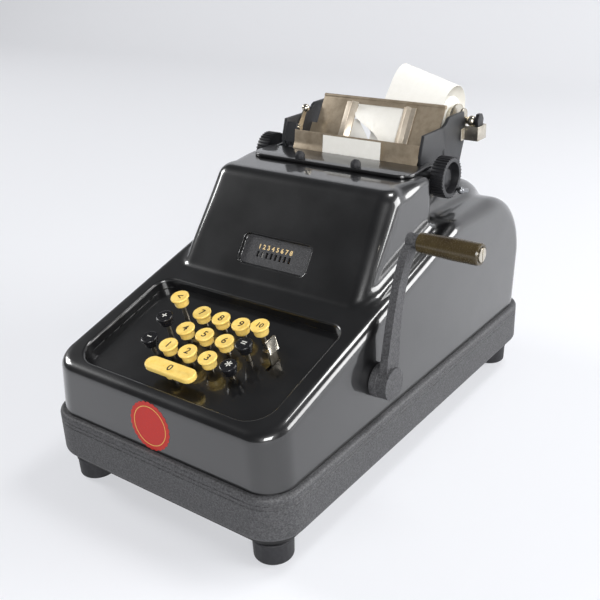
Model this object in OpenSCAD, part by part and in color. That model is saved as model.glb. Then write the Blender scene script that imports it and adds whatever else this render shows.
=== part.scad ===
// Ten-key adding machine with a hand crank and a printing carriage.
// Millimetres. +X is the operator's right, +Y the rear, +Z up.
// The origin is on the table, under the middle of the machine.

/* [Base] */
// Width of the base over its sides
base_w = 226; // [222:1:232]
// Depth of the base from front to back
base_l = 384; // [380:1:392]
// Plan radius of the base's corners
base_r = 27.4; // [24:0.2:32]
// Height of the base wall's lower edge above the table
base_bottom = 24.7; // [22:0.1:27]
// Height of the base wall's upper edge
base_top = 60.8; // [56:0.2:63]
// Thickness of the cast base wall
base_wall = 9; // [8:0.5:11]
// Rounding of the base's lower edge
base_edge = 5; // [3:0.5:6]
// How far the bottom pan stands in from the base wall
pan_inset = 8; // [6:0.5:10]
// Height of the bottom pan's underside above the table
pan_bottom = 17.7; // [15:0.1:19]
// Sheet thickness of the bottom pan
pan_sheet = 1.2; // [0.8:0.1:2]
// Radius of a rubber foot
foot_r = 15.2; // [12:0.2:17]
// Distance of a foot's centre from the base's side
foot_inset_x = 23.8; // [22:0.2:27]
// Distance of a foot's centre from the base's front and back
foot_inset_y = 23.1; // [22:0.1:27]

/* [Case] */
// Step from the base's side to the case's side
case_step = 4.5; // [4:0.1:5.5]
// How far each case wall leans in at deck height
case_lean = 2; // [1:0.1:3]
// Thickness of the case wall
case_wall = 3; // [2.4:0.1:3.4]
// Rounding between the deck and the case's sides
deck_edge = 8; // [7:0.2:10]
// Slope of the deck in degrees
deck_slope = 15.84; // [15:0.1:16.5]
// Height of the deck at the keyboard's reference line
deck_z = 108.6; // [106:0.2:110]
// Height of the flat rear part
rear_z = 176; // [174:0.5:178]
// Radius that rounds the rear down to the back wall
rear_r = 52; // [46:1:56]
// Height of the raised middle of the rear
saddle_z = 187; // [185:0.2:188]
// Half the width of the raised middle
saddle_half = 75; // [73:0.5:77]
// Radius that rounds the raised middle down at the back
saddle_r = 50; // [46:1:54]

/* [Hood] */
// Half the hood's width where it leaves the deck
hood_foot_half = 82; // [80:0.2:84]
// Half the hood's width at its top
hood_top_half = 74; // [73.5:0.1:75]
// Slope of the hood's front face in degrees
hood_slope = 54.8; // [54:0.1:55.5]
// Height of the hood's top
hood_z = 208.5; // [208:0.1:209]
// Rounding of the hood's upper front edge
hood_edge = 14; // [12:0.5:16]
// Width of the sunk indicator panel
panel_w = 66; // [62:0.5:70]
// Height of the indicator panel along the hood's face
panel_h = 24.6; // [22:0.2:27]
// Number of adding columns
column_count = 8; // [6:1:8]
// Distance between two columns
column_pitch = 4.4; // [4:0.1:4.4]

/* [Keyboard] */
// Half the width of the keyboard recess
recess_half = 89; // [87:0.2:90]
// Length of the recess along the deck
recess_l = 103.4; // [102:0.2:104.4]
// Depth of the recess
recess_d = 8.3; // [7.5:0.1:9]
// Thickness of the key plate
key_plate_t = 2; // [1.5:0.1:2.5]
// Sideways distance between key columns
key_pitch_x = 19.05; // [18.6:0.05:19.4]
// Distance between key rows along the deck
key_pitch_s = 19.5; // [19:0.1:20]
// Radius of a digit key's top
cap_r = 7.2; // [6.6:0.1:7.6]
// Height of a key cap
cap_h = 8; // [7:0.2:8.4]
// Travel of a key
key_travel = 4.2; // [3.5:0.1:4.6]
// Height of the digit keys' tops above the deck
digit_top = 5; // [4.8:0.1:7]
// Length of the zero bar
bar_l = 46; // [42:0.5:48]
// Width of the zero bar
bar_w = 12; // [10:0.2:13]

/* [Crank] */
// Length of the crank arm from its axis to the grip's axis
crank_len = 103; // [95:0.5:108]
// Lean of the crank arm to the rear at rest in degrees
crank_lean = 18; // [15:0.5:20]
// Radius of the crank's hub
hub_r = 12.2; // [11:0.1:13.5]
// Thickness of the crank arm
arm_t = 6; // [5:0.1:7]
// Radius of the crank shaft
shaft_r = 5; // [4.5:0.1:5.5]
// Length of the grip
grip_l = 46.5; // [40:0.5:52]
// Radius of the grip
grip_r = 7.5; // [6.8:0.1:8]

/* [Carriage] */
// Half the distance over the carriage side plates
side_half = 69.5; // [69:0.1:69.8]
// Thickness of the carriage side plates
side_t = 3; // [2.5:0.1:3.5]
// Radius of the rubber platen
platen_r = 12; // [11.5:0.1:12.3]
// Radius of the platen shaft
platen_shaft_r = 4; // [3.5:0.1:4.5]
// Radius of the platen knobs over their ribs
knob_r = 16.5; // [15.5:0.1:17]
// Length of a platen knob
knob_l = 11.5; // [10:0.1:12]
// Number of ribs on a knob
knob_ribs = 36; // [24:2:40]
// Width of the paper
paper_w = 57; // [55:0.5:58]
// Thickness at which the paper is drawn
paper_t = 0.3; // [0.25:0.05:0.4]
// Radius of the paper roll
roll_r = 24; // [15:0.5:24]
// Tilt of the roll's loose outer turn in degrees
loop_tilt = 14; // [10:0.5:16]

/* [Hidden] */
$fn = 64;

enamel = "#141416";
wrinkle = "#2b2c2e";
nickel = "#b9b4a6";
steel = "#8d9094";
ivory = "#f4d67a";
jet = "#17171a";
rubber = "#232325";
paper = "#f4f2ec";

hull_fn = 32;
run_fit = 0.05;

// Feet and cross bars under the base
foot_x = base_w / 2 - foot_inset_x;
foot_y = base_l / 2 - foot_inset_y;
foot_pad_r = 17;
cross_bar_l = 18;
cross_bar_y = [72 - base_l / 2, base_l / 2 - 82];

// Case outline
case_half = base_w / 2 - case_step;
case_half_top = case_half - case_lean;
case_front = base_l / 2 - case_step;
case_front_top = case_front - case_lean;
corner_r = base_r - case_step;
deck_y = -165;
function deck_at(y) = deck_z + tan(deck_slope) * (y - deck_y);
knee_y = deck_y + (rear_z - deck_z) / tan(deck_slope);
knee_r = 50;
side_round = 10;
rear_round = 12;

// Hood outline
hood_foot_y = deck_y + (143 - deck_z) / tan(deck_slope) - 10.6;
hood_foot_z = 143;
hood_back_y = 66;
hood_low_z = 120;
foot_round = 10;
back_post = 4;
bay_half = 71.2;
bay_y = 50;
bay_z = 181;
panel_sink = case_wall + 0.25;
panel_v = 21.5;

// Recess on the deck
recess_s = -10.9;
recess_front_r = 20;
recess_back_r = 12;
recess_mid = recess_s + recess_l / 2;

// Keyboard grid, counted from the middle of the digit keys
grid_x = -2.45;
grid_s = 24.6;
zero_s = 5.2;
stem_w = 4.2;
stem_t = 1.6;
stem_low = 26;
slot_clear = 0.4;
function key_x(column) = grid_x + column * key_pitch_x;
function key_s(row) = grid_s + row * key_pitch_s;

// Crank
crank_y = -64;
crank_z = 92.5;
boss_x = case_half - 1;
arm_x = boss_x + 6.4;
grip_x = arm_x + arm_t + 2.8;
grip_y = crank_y + crank_len * sin(crank_lean);
grip_z = crank_z + crank_len * cos(crank_lean);
pin_r = 3;

// Carriage
platen_y = 71.5;
platen_z = 205.3;
platen_half = side_half - side_t - 4.5;
knob_x = 81.5;
release_y = 104;
release_z = 196;
spindle_y = 143;
spindle_z = 234;
spindle_r = 3;
roll_x = -4;
core_r = 9.5;
web_x = -24;
rivet_y = 101.9;
rivet_z = 216.1;
beam_y = 92;
beam_l = 32;
beam_t = 4;
table_low_y = 98;
table_low_z = 212;
table_top_y = 120;
table_top_z = 248.6;
table_half = 61;
table_len = norm([table_top_y - table_low_y, table_top_z - table_low_z]);
table_tilt = atan2(table_top_z - table_low_z, table_top_y - table_low_y);

// Mechanism
frame_half = 66;
frame_foot = 8;
frame_t = 3;
frame_end_y = base_l / 2 - 42;
cam_gap = 2;
cam_hub_l = 18;
cam_t = 6;
cam_x = frame_half - cam_gap - cam_hub_l;
sector_y = 20;
sector_z = 148;
sector_r = 60;
tail_r = 19.5;
sector_t = 2.2;
wheel_y = -9;
wheel_z = 140;
wheel_r = 9;
columns_w = (column_count - 1) * column_pitch;
column_x = -17.4;
basket_y = -14;
basket_z = 112;
rail_r = 2;
spool_x = 52;
spool_y = 25;
spool_z = 190;
spool_r = 14;

module rounded_rect(w, l, r) {
    square([w - 2 * r, l], center = true);
    square([w, l - 2 * r], center = true);
    for (sx = [-1, 1], sy = [-1, 1])
        translate([sx * (w / 2 - r), sy * (l / 2 - r)]) circle(r);
}

// Carries a profile, drawn with its outside at x = 0, round a rectangle with round corners.
module rim_sweep(w, l, r) {
    for (k = [0:3]) {
        sx = (k == 0 || k == 3) ? 1 : -1;
        sy = k < 2 ? 1 : -1;
        translate([sx * (w / 2 - r), sy * (l / 2 - r), 0])
            rotate([0, 0, 90 * k]) rotate_extrude(angle = 90) translate([r, 0]) children();
    }
    for (sx = [0, 1])
        rotate([0, 0, 180 * sx]) translate([w / 2, l / 2 - r, 0])
            rotate([90, 0, 0]) linear_extrude(l - 2 * r) children();
    for (sy = [0, 1])
        rotate([0, 0, 90 + 180 * sy]) translate([l / 2, w / 2 - r, 0])
            rotate([90, 0, 0]) linear_extrude(w - 2 * r) children();
}

module along_x(x0, x1) {
    translate([x0, 0, 0]) rotate([90, 0, 90]) linear_extrude(x1 - x0) children();
}

module rod_x(x0, x1, y, z, r) {
    translate([x0, y, z]) rotate([0, 90, 0]) cylinder(h = x1 - x0, r = r);
}

module on_deck() {
    translate([0, deck_y, deck_z]) rotate([deck_slope, 0, 0]) children();
}

module on_hood() {
    translate([0, hood_foot_y, hood_foot_z]) rotate([hood_slope, 0, 0]) children();
}

module on_table() {
    translate([0, table_low_y, table_low_z]) rotate([table_tilt, 0, 0]) children();
}

module rim_disc(r, tube, fn = hull_fn) {
    rotate_extrude($fn = fn) translate([r - tube, 0]) circle(tube, $fn = 16);
    cylinder(h = 2 * tube, r = r - tube, center = true, $fn = fn);
}

// Convex body of the case, drawn in by t for the inside.
module case_form(t) {
    front_disc_y = -(case_front_top - deck_edge - (corner_r - deck_edge) * cos(deck_slope));
    hull() {
        for (sx = [-1, 1]) {
            for (sy = [-1, 1])
                translate([sx * (case_half - corner_r), sy * (case_front - corner_r), base_top - (t > 0 ? 1 : 0)])
                    cylinder(h = 4, r = corner_r - t, $fn = hull_fn);
            translate([sx * (case_half_top - corner_r), front_disc_y,
                       deck_at(front_disc_y) - deck_edge / cos(deck_slope)])
                rotate([deck_slope, 0, 0]) rim_offset(corner_r, deck_edge, t);
            translate([sx * (case_half_top - side_round), knee_y + knee_r * tan(deck_slope / 2), rear_z - knee_r])
                rotate([0, 90, 0]) rim_offset(knee_r, side_round, t);
            translate([sx * (case_half_top - rear_round), case_front_top - rear_r, rear_z - rear_r])
                rotate([0, 90, 0]) rim_offset(rear_r, rear_round, t);
        }
    }
}

// Disc with a round rim whose surface is drawn in by t.
module rim_offset(r, tube, t) {
    rotate_extrude($fn = hull_fn) translate([r - tube, 0]) circle(tube - t, $fn = 16);
}

module hood_form(t) {
    lean = (hood_foot_half - hood_top_half) / (hood_z - hood_foot_z);
    low_half = hood_foot_half + lean * (hood_foot_z - hood_low_z);
    face = [-sin(hood_slope), cos(hood_slope)];
    top_c_z = hood_z - hood_edge;
    top_c_y = hood_foot_y + (top_c_z + hood_edge * face[1] - hood_foot_z) / tan(hood_slope) - hood_edge * face[0];
    low_c_y = hood_foot_y + (hood_low_z + foot_round * face[1] - hood_foot_z) / tan(hood_slope)
        - foot_round * face[0];
    hull() {
        for (sx = [-1, 1]) {
            translate([sx * (low_half - foot_round), low_c_y, hood_low_z])
                sphere(foot_round - t, $fn = hull_fn);
            translate([sx * (hood_top_half - hood_edge + 1.5), top_c_y, top_c_z])
                sphere(hood_edge - t, $fn = hull_fn);
            translate([sx * (low_half - back_post), hood_back_y - back_post, hood_low_z - 10])
                cylinder(h = 10, r = back_post - t, $fn = 16);
            translate([sx * (hood_top_half - back_post - 2), hood_back_y - back_post, hood_z - t - 1])
                cylinder(h = 1, r = back_post - t, $fn = 16);
            translate([sx * (hood_top_half - back_post), hood_back_y - back_post, hood_z - t - 8])
                cylinder(h = 1, r = back_post - t, $fn = 16);
        }
    }
}

module saddle_form(t) {
    hull() {
        for (sx = [-1, 1], y = [50, 120])
            translate([sx * (saddle_half - rear_round), y, saddle_z - saddle_r])
                rotate([0, 90, 0]) rim_offset(saddle_r, rear_round, t);
    }
}

// Low skirt that blends the hood into the deck.
module hood_skirt() {
    skirt = 7;
    s0 = (hood_foot_y - deck_y) / cos(deck_slope);
    s1 = (hood_back_y - deck_y) / cos(deck_slope);
    on_deck() hull() {
        for (sx = [-1, 1], s = [s0 + foot_round - 1, s1 - foot_round])
            translate([sx * (hood_foot_half - foot_round), s, 0]) {
                translate([0, 0, -4]) cylinder(h = 4.3, r = foot_round + skirt, $fn = hull_fn);
                cylinder(h = 8, r = foot_round, $fn = hull_fn);
            }
    }
}

// Outline of the keyboard recess, grown by g.
module recess_outline(g) {
    w = recess_half + g;
    translate([-w, recess_s - g + recess_front_r + g]) square([2 * w, recess_l + 2 * g - recess_front_r
        - recess_back_r - 2 * g]);
    translate([-w + recess_front_r + g, recess_s - g]) square([2 * w - 2 * recess_front_r - 2 * g, recess_l + 2 * g]);
    for (sx = [-1, 1]) {
        translate([sx * (recess_half - recess_front_r), recess_s + recess_front_r]) circle(recess_front_r + g);
        translate([sx * (recess_half - recess_back_r), recess_s + recess_l - recess_back_r]) circle(recess_back_r + g);
        translate([sx > 0 ? recess_half - recess_front_r : -w + (recess_back_r + g),
                   recess_s + recess_l / 2])
            square([recess_front_r - recess_back_r, recess_l / 2 + g]);
    }
}

module panel_outline(g) {
    translate([0, panel_v]) rounded_rect(panel_w + 2 * g, panel_h + 2 * g, 3 + g);
}

module case_shell() {
    ledge = 2.5;
    color(enamel) difference() {
        union() {
            difference() {
                union() {
                    case_form(0);
                    hood_form(0);
                    saddle_form(0);
                    hood_skirt();
                }
                case_form(case_wall);
                hood_form(case_wall);
                saddle_form(case_wall);
            }
            on_deck() translate([0, 0, -recess_d]) linear_extrude(recess_d - 1) recess_outline(ledge);
        }
        on_deck() translate([0, 0, -recess_d - 1]) linear_extrude(recess_d + 8) recess_outline(0);
        on_hood() translate([0, 0, -panel_sink - 4]) linear_extrude(panel_sink + 10) panel_outline(0);
        translate([-bay_half, bay_y, bay_z]) cube([2 * bay_half, hood_back_y - bay_y + 8, 40]);
        translate([-bay_half + 8, 36, bay_z + 6]) cube([2 * bay_half - 16, 16, 40]);
        rod_x(case_half - 12, case_half + 5, crank_y, crank_z, 8 + run_fit);
        rod_x(boss_x, case_half + 5, crank_y, crank_z, hub_r + 0.9);
    }
}

// Profile of the base wall with two beads under its upper edge.
module base_profile() {
    lip = 3;
    bead = 0.9;
    difference() {
        union() {
            translate([-base_wall, base_bottom]) square([base_wall - base_edge, base_edge]);
            translate([-base_wall, base_bottom + base_edge])
                square([base_wall, base_top - base_bottom - base_edge - lip]);
            translate([-base_wall, base_top - lip]) square([base_wall - lip, lip]);
            translate([-base_edge, base_bottom + base_edge]) circle(base_edge);
            translate([-lip, base_top - lip]) circle(lip);
            translate([-base_wall - 9, base_bottom]) square([10, 3]);
        }
        for (z = [base_top - 5, base_top - 8.4]) translate([0.25, z]) circle(bead, $fn = 24);
    }
}

module base_casting() {
    color(wrinkle) difference() {
        union() {
            rim_sweep(base_w, base_l, base_r) base_profile();
            for (sx = [-1, 1], sy = [-1, 1])
                translate([sx * foot_x, sy * foot_y, base_bottom]) cylinder(h = 5, r = foot_pad_r);
            for (y = cross_bar_y)
                translate([-base_w / 2 + base_wall - 1, y - cross_bar_l / 2, base_bottom])
                    cube([base_w - 2 * base_wall + 2, cross_bar_l, frame_foot]);
        }
        for (sx = [-1, 1], sy = [-1, 1])
            translate([sx * foot_x, sy * foot_y, base_bottom - 1]) cylinder(h = 12, r = 2.5);
    }
}

module bottom_pan() {
    w = base_w - 2 * pan_inset;
    l = base_l - 2 * pan_inset;
    r = base_r - pan_inset;
    color(wrinkle) difference() {
        translate([0, 0, pan_bottom]) linear_extrude(base_bottom - pan_bottom) rounded_rect(w, l, r);
        translate([0, 0, pan_bottom + pan_sheet]) linear_extrude(20)
            rounded_rect(w - 2 * pan_sheet, l - 2 * pan_sheet, r - pan_sheet);
        for (sx = [-1, 1], sy = [-1, 1])
            translate([sx * foot_x, sy * foot_y, pan_bottom - 1]) cylinder(h = 6, r = 2.5);
    }
}

module feet() {
    color(rubber) for (sx = [-1, 1], sy = [-1, 1]) translate([sx * foot_x, sy * foot_y, 0]) {
        rotate_extrude() difference() {
            polygon([[2.5, 3], [6, 3], [6, 0], [foot_r - 2.5, 0], [foot_r - 1, 1.2], [foot_r - 0.6, pan_bottom - 3],
                     [foot_r, pan_bottom - 2], [foot_r, pan_bottom], [2.5, pan_bottom]]);
            translate([foot_r + 4.2, pan_bottom / 2]) circle(4.6);
        }
    }
}

module foot_screws() {
    color(steel) for (sx = [-1, 1], sy = [-1, 1]) translate([sx * foot_x, sy * foot_y, 0]) difference() {
        union() {
            translate([0, 0, 0.6]) cylinder(h = 2.4, r = 4.6);
            translate([0, 0, 2.9]) cylinder(h = base_bottom + 5 - 2.9, r = 2.4);
        }
        translate([-5, -0.5, 0.4]) cube([10, 1, 1]);
    }
}

module key_slot(column, row) {
    translate([key_x(column), key_s(row)]) square([stem_w + 2 * slot_clear, stem_t + 2 * slot_clear], center = true);
}

module key_plate() {
    color(jet) on_deck() translate([0, 0, -recess_d - key_plate_t]) linear_extrude(key_plate_t) difference() {
        recess_outline(2.5);
        for (column = [-1:1], row = [0:2]) key_slot(column, row);
        for (row = [0:2]) {
            key_slot(-2, row);
            key_slot(2, row);
        }
        translate([grid_x, zero_s]) square([stem_w + 2 * slot_clear, stem_t + 2 * slot_clear], center = true);
        lever_slot();
    }
}

lever_x = grid_x + 3 * key_pitch_x;
lever_s = 50;
lever_travel = 5;

module lever_slot() {
    translate([lever_x - 1.3, lever_s - lever_travel - 4.6]) square([2.6, lever_travel + 9.2]);
}

// A stem that hangs from a cap at (0, 0) and reaches through the key plate.
module stem(cap_bottom) {
    translate([-stem_w / 2, -stem_t / 2, -stem_low]) cube([stem_w, stem_t, stem_low + cap_bottom + 1]);
    translate([-stem_w / 2 - 1, -stem_t / 2 - 0.6, -stem_low]) cube([stem_w + 2, stem_t + 1.2, 2]);
}

module round_cap(top, r) {
    dish = 0.6;
    lip = 1.8;
    neck = r * 0.76;
    translate([0, 0, top - cap_h]) rotate_extrude() polygon([
        [0, 0], [neck - 0.4, 0], [neck, 0.5], [neck + 0.3, cap_h - lip - 1.6], [r - 0.2, cap_h - lip],
        [r, cap_h - lip + 0.5], [r, cap_h - 0.5], [r - 0.5, cap_h], [r - 1.2, cap_h], [r * 0.45, cap_h - dish],
        [0, cap_h - dish]
    ]);
}

module black_cap(top) {
    r = cap_r - 0.6;
    translate([0, 0, top - cap_h]) rotate_extrude() polygon([
        [0, 0], [r - 2.2, 0], [r - 1.6, 0.6], [r - 1, cap_h * 0.45], [r - 0.1, cap_h - 1.6], [r, cap_h - 0.9],
        [r - 0.5, cap_h - 0.2], [r - 1.1, cap_h], [0, cap_h]
    ]);
}

module key_at(column, row) {
    on_deck() translate([key_x(column), key_s(row), 0]) children();
}

module digit_key(column, row, top = digit_top) {
    color(ivory) key_at(column, row) {
        round_cap(top, cap_r);
        stem(top - cap_h);
    }
}

module black_key(column, row, top) {
    color(jet) key_at(column, row) {
        black_cap(top);
        stem(top - cap_h);
    }
}

module key_0() {
    bar_top = 5.2;
    bar_t = 4.6;
    color(ivory) on_deck() translate([grid_x, zero_s, 0]) {
        difference() {
            translate([0, 0, bar_top - bar_t]) linear_extrude(bar_t)
                rounded_rect(bar_l, bar_w, bar_w / 2 - 0.1);
            translate([0, 0, bar_top + 58.6]) rotate([0, 90, 0]) cylinder(h = 90, r = 59.2, center = true, $fn = 180);
        }
        translate([0, 0, bar_top - cap_h]) cylinder(h = cap_h - bar_t + 0.5, r = 4.6);
        stem(bar_top - cap_h);
    }
}

module key_1() { digit_key(-1, 0); }
module key_2() { digit_key(0, 0); }
module key_3() { digit_key(1, 0); }
module key_4() { digit_key(-1, 1); }
module key_5() { digit_key(0, 1); }
module key_6() { digit_key(1, 1); }
module key_7() { digit_key(-1, 2); }
module key_8() { digit_key(0, 2); }
module key_9() { digit_key(1, 2); }
module key_ten() { digit_key(2, 2, digit_top + 4.8); }
module key_back() { digit_key(-2, 2, digit_top + 10); }
module key_black_a() { black_key(-2, 1, 11); }
module key_black_b() { black_key(-2, 0, 6); }
module key_black_c() { black_key(2, 1, 8.4); }
module key_black_d() { black_key(2, 0, 4.6); }

// Bent lever that slides along the deck to hold the repeat setting.
module repeat_lever() {
    color(nickel) on_deck() translate([lever_x, lever_s, 0]) {
        translate([-0.8, -4, -stem_low + 6]) cube([1.6, 8, stem_low - 2]);
        translate([-4.4, 2.4, 4]) cube([8.8, 1.6, 7]);
        translate([-4.4, -4, 4]) cube([1.6, 8, 4]);
        translate([-4.4, -4, 2.6]) cube([5.2, 8, 1.6]);
    }
}

module indicator_panel() {
    slot_w = 2.2;
    slot_l = 5;
    color(wrinkle) on_hood() translate([0, 0, -panel_sink - 1.6]) linear_extrude(1.6) difference() {
        panel_outline(2);
        for (i = [0:column_count - 1])
            translate([column_x + i * column_pitch - slot_w / 2, 19.2 - slot_l / 2]) square([slot_w, slot_l]);
    }
}

// Pale marker behind the panel that rides on the pin basket.
module column_flag() {
    half = 1.8;
    foot_y = hood_foot_y + 16.6;
    color(paper) {
        on_hood() translate([column_x - half, 15.2, -panel_sink - 4.6]) cube([2 * half, 8, 0.8]);
        translate([column_x - half, foot_y, basket_z + 14]) cube([2 * half, 2, 29]);
    }
}

module pin_basket() {
    color(steel) difference() {
        union() {
            translate([column_x - 6, basket_y - 12, basket_z - 12]) cube([34, 24, 24]);
            translate([column_x - 1.8, basket_y - 24, basket_z + 12]) cube([3.6, 36, 2]);
            for (i = [0:4], j = [0:2])
                translate([column_x - 2 + i * 6.4, basket_y - 7 + j * 7, basket_z + 10]) cylinder(h = 6, r = 1);
        }
        for (y = [basket_y - 8, basket_y + 8])
            rod_x(column_x - 10, column_x + 40, y, basket_z - 5, rail_r + run_fit);
    }
}

module hood_plate() {
    z = hood_z + 0.05;
    front = 30;
    half = 77;
    back = 67.5;
    slot_y = 53;
    color(enamel) translate([0, 0, z]) linear_extrude(3) difference() {
        union() {
            translate([-half, front + 12]) square([2 * half, back - front - 16]);
            translate([-half + 12, front]) square([2 * half - 24, back - front]);
            for (sx = [-1, 1]) {
                translate([sx * (half - 12), front + 12]) circle(12);
                translate([sx * (half - 4), back - 4]) circle(4);
                translate([sx * (half - 8) - 4, back - 8]) square([8, 8]);
            }
        }
        translate([-bay_half, slot_y]) square([2 * bay_half, 30]);
    }
}

module hood_bumpers() {
    color(rubber) for (sx = [-1, 1]) translate([sx * 27, 37, hood_z + 3.05]) {
        cylinder(h = 3, r = 5);
        translate([0, 0, 3]) intersection() {
            sphere(5);
            cylinder(h = 5, r = 6);
        }
    }
}

module crank_bearing() {
    color(wrinkle) difference() {
        union() {
            rod_x(boss_x, arm_x - 0.3, crank_y, crank_z, hub_r + 0.4);
            rod_x(frame_half + frame_t + 6, boss_x + 0.1, crank_y, crank_z, 8);
        }
        rod_x(0, arm_x + 5, crank_y, crank_z, shaft_r + run_fit);
    }
}

module crank_shaft() {
    color(steel) rod_x(-frame_half - frame_t - 4, arm_x + arm_t, crank_y, crank_z, shaft_r);
}

module drive_cam() {
    color(steel) difference() {
        union() {
            rod_x(cam_x + cam_t, cam_x + 2 * cam_t, crank_y, crank_z, 14);
            along_x(cam_x + cam_t, cam_x + 2 * cam_t) translate([crank_y, crank_z])
                polygon([[-13, -5], [-6, -26], [6, -26], [13, -5]]);
            rod_x(cam_x, cam_x + cam_hub_l, crank_y, crank_z, 9);
        }
        rod_x(cam_x - 5, cam_x + cam_hub_l + 5, crank_y, crank_z, shaft_r);
    }
}

// Flat arm that narrows towards the grip, with a round hub.
module crank_arm() {
    tip_w = 10;
    root_w = 17;
    color(wrinkle) {
        difference() {
            union() {
                rod_x(arm_x, arm_x + arm_t + 1, crank_y, crank_z, hub_r);
                translate([0, crank_y, crank_z]) rotate([-crank_lean, 0, 0]) along_x(arm_x, arm_x + arm_t)
                    polygon([[-root_w / 2, 0], [-root_w / 2 - 0.6, 14], [-tip_w / 2 - 3.6, crank_len * 0.6],
                             [-tip_w / 2 - 1, crank_len * 0.86], [-tip_w / 2, crank_len],
                             [tip_w / 2, crank_len], [tip_w / 2 - 1.4, crank_len * 0.84],
                             [tip_w / 2 - 3.6, crank_len * 0.6], [root_w / 2 - 1, 14], [root_w / 2, 0]]);
                rod_x(arm_x, arm_x + arm_t, grip_y, grip_z, tip_w / 2);
                rod_x(arm_x + arm_t - 1, grip_x - 0.3, grip_y, grip_z, 5.4);
            }
            rod_x(arm_x - 5, arm_x + arm_t, crank_y, crank_z, shaft_r + 0.01);
            rod_x(arm_x - 5, grip_x + 5, grip_y, grip_z, pin_r);
        }
    }
}

module crank_grip() {
    color("#4d4530") translate([grip_x, grip_y, grip_z]) rotate([0, 90, 0]) rotate_extrude() polygon([
        [pin_r + run_fit, 0], [grip_r - 1, 0], [grip_r - 0.4, 0.6], [grip_r - 0.2, 6], [grip_r + 0.4, grip_l * 0.6],
        [grip_r + 0.3, grip_l - 1], [grip_r - 0.3, grip_l], [5.6, grip_l], [5.6, grip_l - 1.4],
        [pin_r + run_fit, grip_l - 1.4]
    ]);
}

module grip_screw() {
    color(nickel) difference() {
        union() {
            rod_x(arm_x, grip_x + grip_l - 1.3, grip_y, grip_z, pin_r);
            rod_x(grip_x + grip_l - 1.3, grip_x + grip_l + 1, grip_y, grip_z, 5);
        }
        translate([grip_x + grip_l, grip_y - 0.6, grip_z - 6]) cube([2, 1.2, 12]);
    }
}

// Side plate seen from the right: y to the right, z up.
module side_outline() {
    difference() {
        union() {
            polygon([[66.5, 190], [63.3, 220.4], [68.8, 236.7], [98, 236.5], [112, 243], [136, 243], [139.4, 232],
                     [139.4, 221.3], [131.5, 204], [126, 189.6], [88, 189.6]]);
            translate([platen_y, platen_z]) circle(10);
        }
        translate([98, 250.5]) circle(14);
        translate([60, 186]) rotate(0) square([22, 9]);
    }
}

module carriage_side(x) {
    color("#303134") difference() {
        along_x(x, x + side_t) side_outline();
        rod_x(x - 1, x + side_t + 1, platen_y, platen_z, platen_shaft_r + run_fit);
    }
}

module carriage_side_left() {
    carriage_side(-side_half);
    color("#303134") translate([-side_half + side_t, 63.8, 218]) rotate([-18, 0, 0]) cube([10, 2.5, 17]);
}

module carriage_side_right() {
    difference() {
        carriage_side(side_half - side_t);
        rod_x(side_half - 5, side_half + 5, rivet_y, rivet_z, 1.5);
    }
    color(nickel) rod_x(side_half - side_t, side_half + 0.8, rivet_y, rivet_z, 2.2);
}

module carriage_beam() {
    half = side_half - side_t;
    color(wrinkle) along_x(-half, half) polygon([
        [beam_y, saddle_z + 0.05], [beam_y + beam_l, saddle_z + 0.05], [beam_y + beam_l, saddle_z + 11],
        [beam_y + beam_l - beam_t, saddle_z + 11], [beam_y + beam_l - beam_t, saddle_z + beam_t],
        [beam_y + beam_t, saddle_z + beam_t], [beam_y + beam_t, saddle_z + 17], [beam_y, saddle_z + 17]
    ]);
}

module platen_roller() {
    color(rubber) difference() {
        rod_x(-platen_half, platen_half, platen_y, platen_z, platen_r);
        rod_x(-80, 80, platen_y, platen_z, platen_shaft_r);
    }
}

module platen_shaft() {
    color(steel) rod_x(-knob_x - knob_l + 5, knob_x + knob_l - 5, platen_y, platen_z, platen_shaft_r);
}

module platen_knob() {
    rib = 1.1;
    color(jet) translate([knob_x, platen_y, platen_z]) rotate([0, 90, 0]) difference() {
        union() {
            linear_extrude(knob_l) union() {
                circle(knob_r - 0.9);
                for (i = [0:knob_ribs - 1]) rotate(360 * i / knob_ribs)
                    translate([knob_r - 2, -rib / 2]) square([2, rib]);
            }
            translate([0, 0, -2]) cylinder(h = 2.5, r = 8);
        }
        translate([0, 0, knob_l - 7]) difference() {
            cylinder(h = 10, r = knob_r - 4);
            cylinder(h = 3, r = 6.4);
        }
        translate([0, 0, -5]) cylinder(h = knob_l, r = platen_shaft_r);
    }
}

module knob_left() { mirror([1, 0, 0]) platen_knob(); }
module knob_right() { platen_knob(); }

// Bent lever that comes out round the right knob and frees the platen's detent.
module release_lever() {
    x = side_half + 1.1;
    out_x = knob_x + knob_l + 2.4;
    color(steel) {
        rod_x(side_half + 0.1, x + 2.4, release_y, release_z, 4);
        along_x(x, x + 2) polygon([[release_y, release_z + 3.6], [release_y, release_z - 3.8],
                                   [release_y - 14, release_z - 7.8], [release_y - 14, release_z - 4.4]]);
        rod_x(x, out_x + 2, release_y - 12, release_z - 6, 1.6);
        along_x(out_x, out_x + 2) polygon([[release_y - 11, release_z - 7.4], [release_y - 11, release_z - 4.6],
                                           [release_y - 23, release_z - 1.6], [release_y - 23, release_z - 4.4]]);
        translate([out_x + 1, release_y - 23, release_z - 3]) sphere(3);
    }
}

module tear_bar() {
    color("#8b7d66") along_x(-side_half + side_t + 10.3, side_half - side_t - 0.05)
        polygon([[63.9, 218.6], [64.9, 218.6], [66.6, 229], [65.6, 229]]);
}

module paper_table() {
    color(nickel) {
        difference() {
            on_table() translate([-table_half, 0, 0]) cube([2 * table_half, table_len, 1]);
            on_table() translate([-24, 3, -2]) cube([48, table_len - 8, 5]);
        }
        rod_x(-table_half, table_half, table_top_y, table_top_z, 1.7);
        for (sx = [-1, 1]) on_table()
            translate([sx > 0 ? table_half - 1 : -side_half + side_t + 0.05, 4, 0])
                cube([side_half - side_t - table_half + 0.95, 12, 1]);
    }
}

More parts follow.
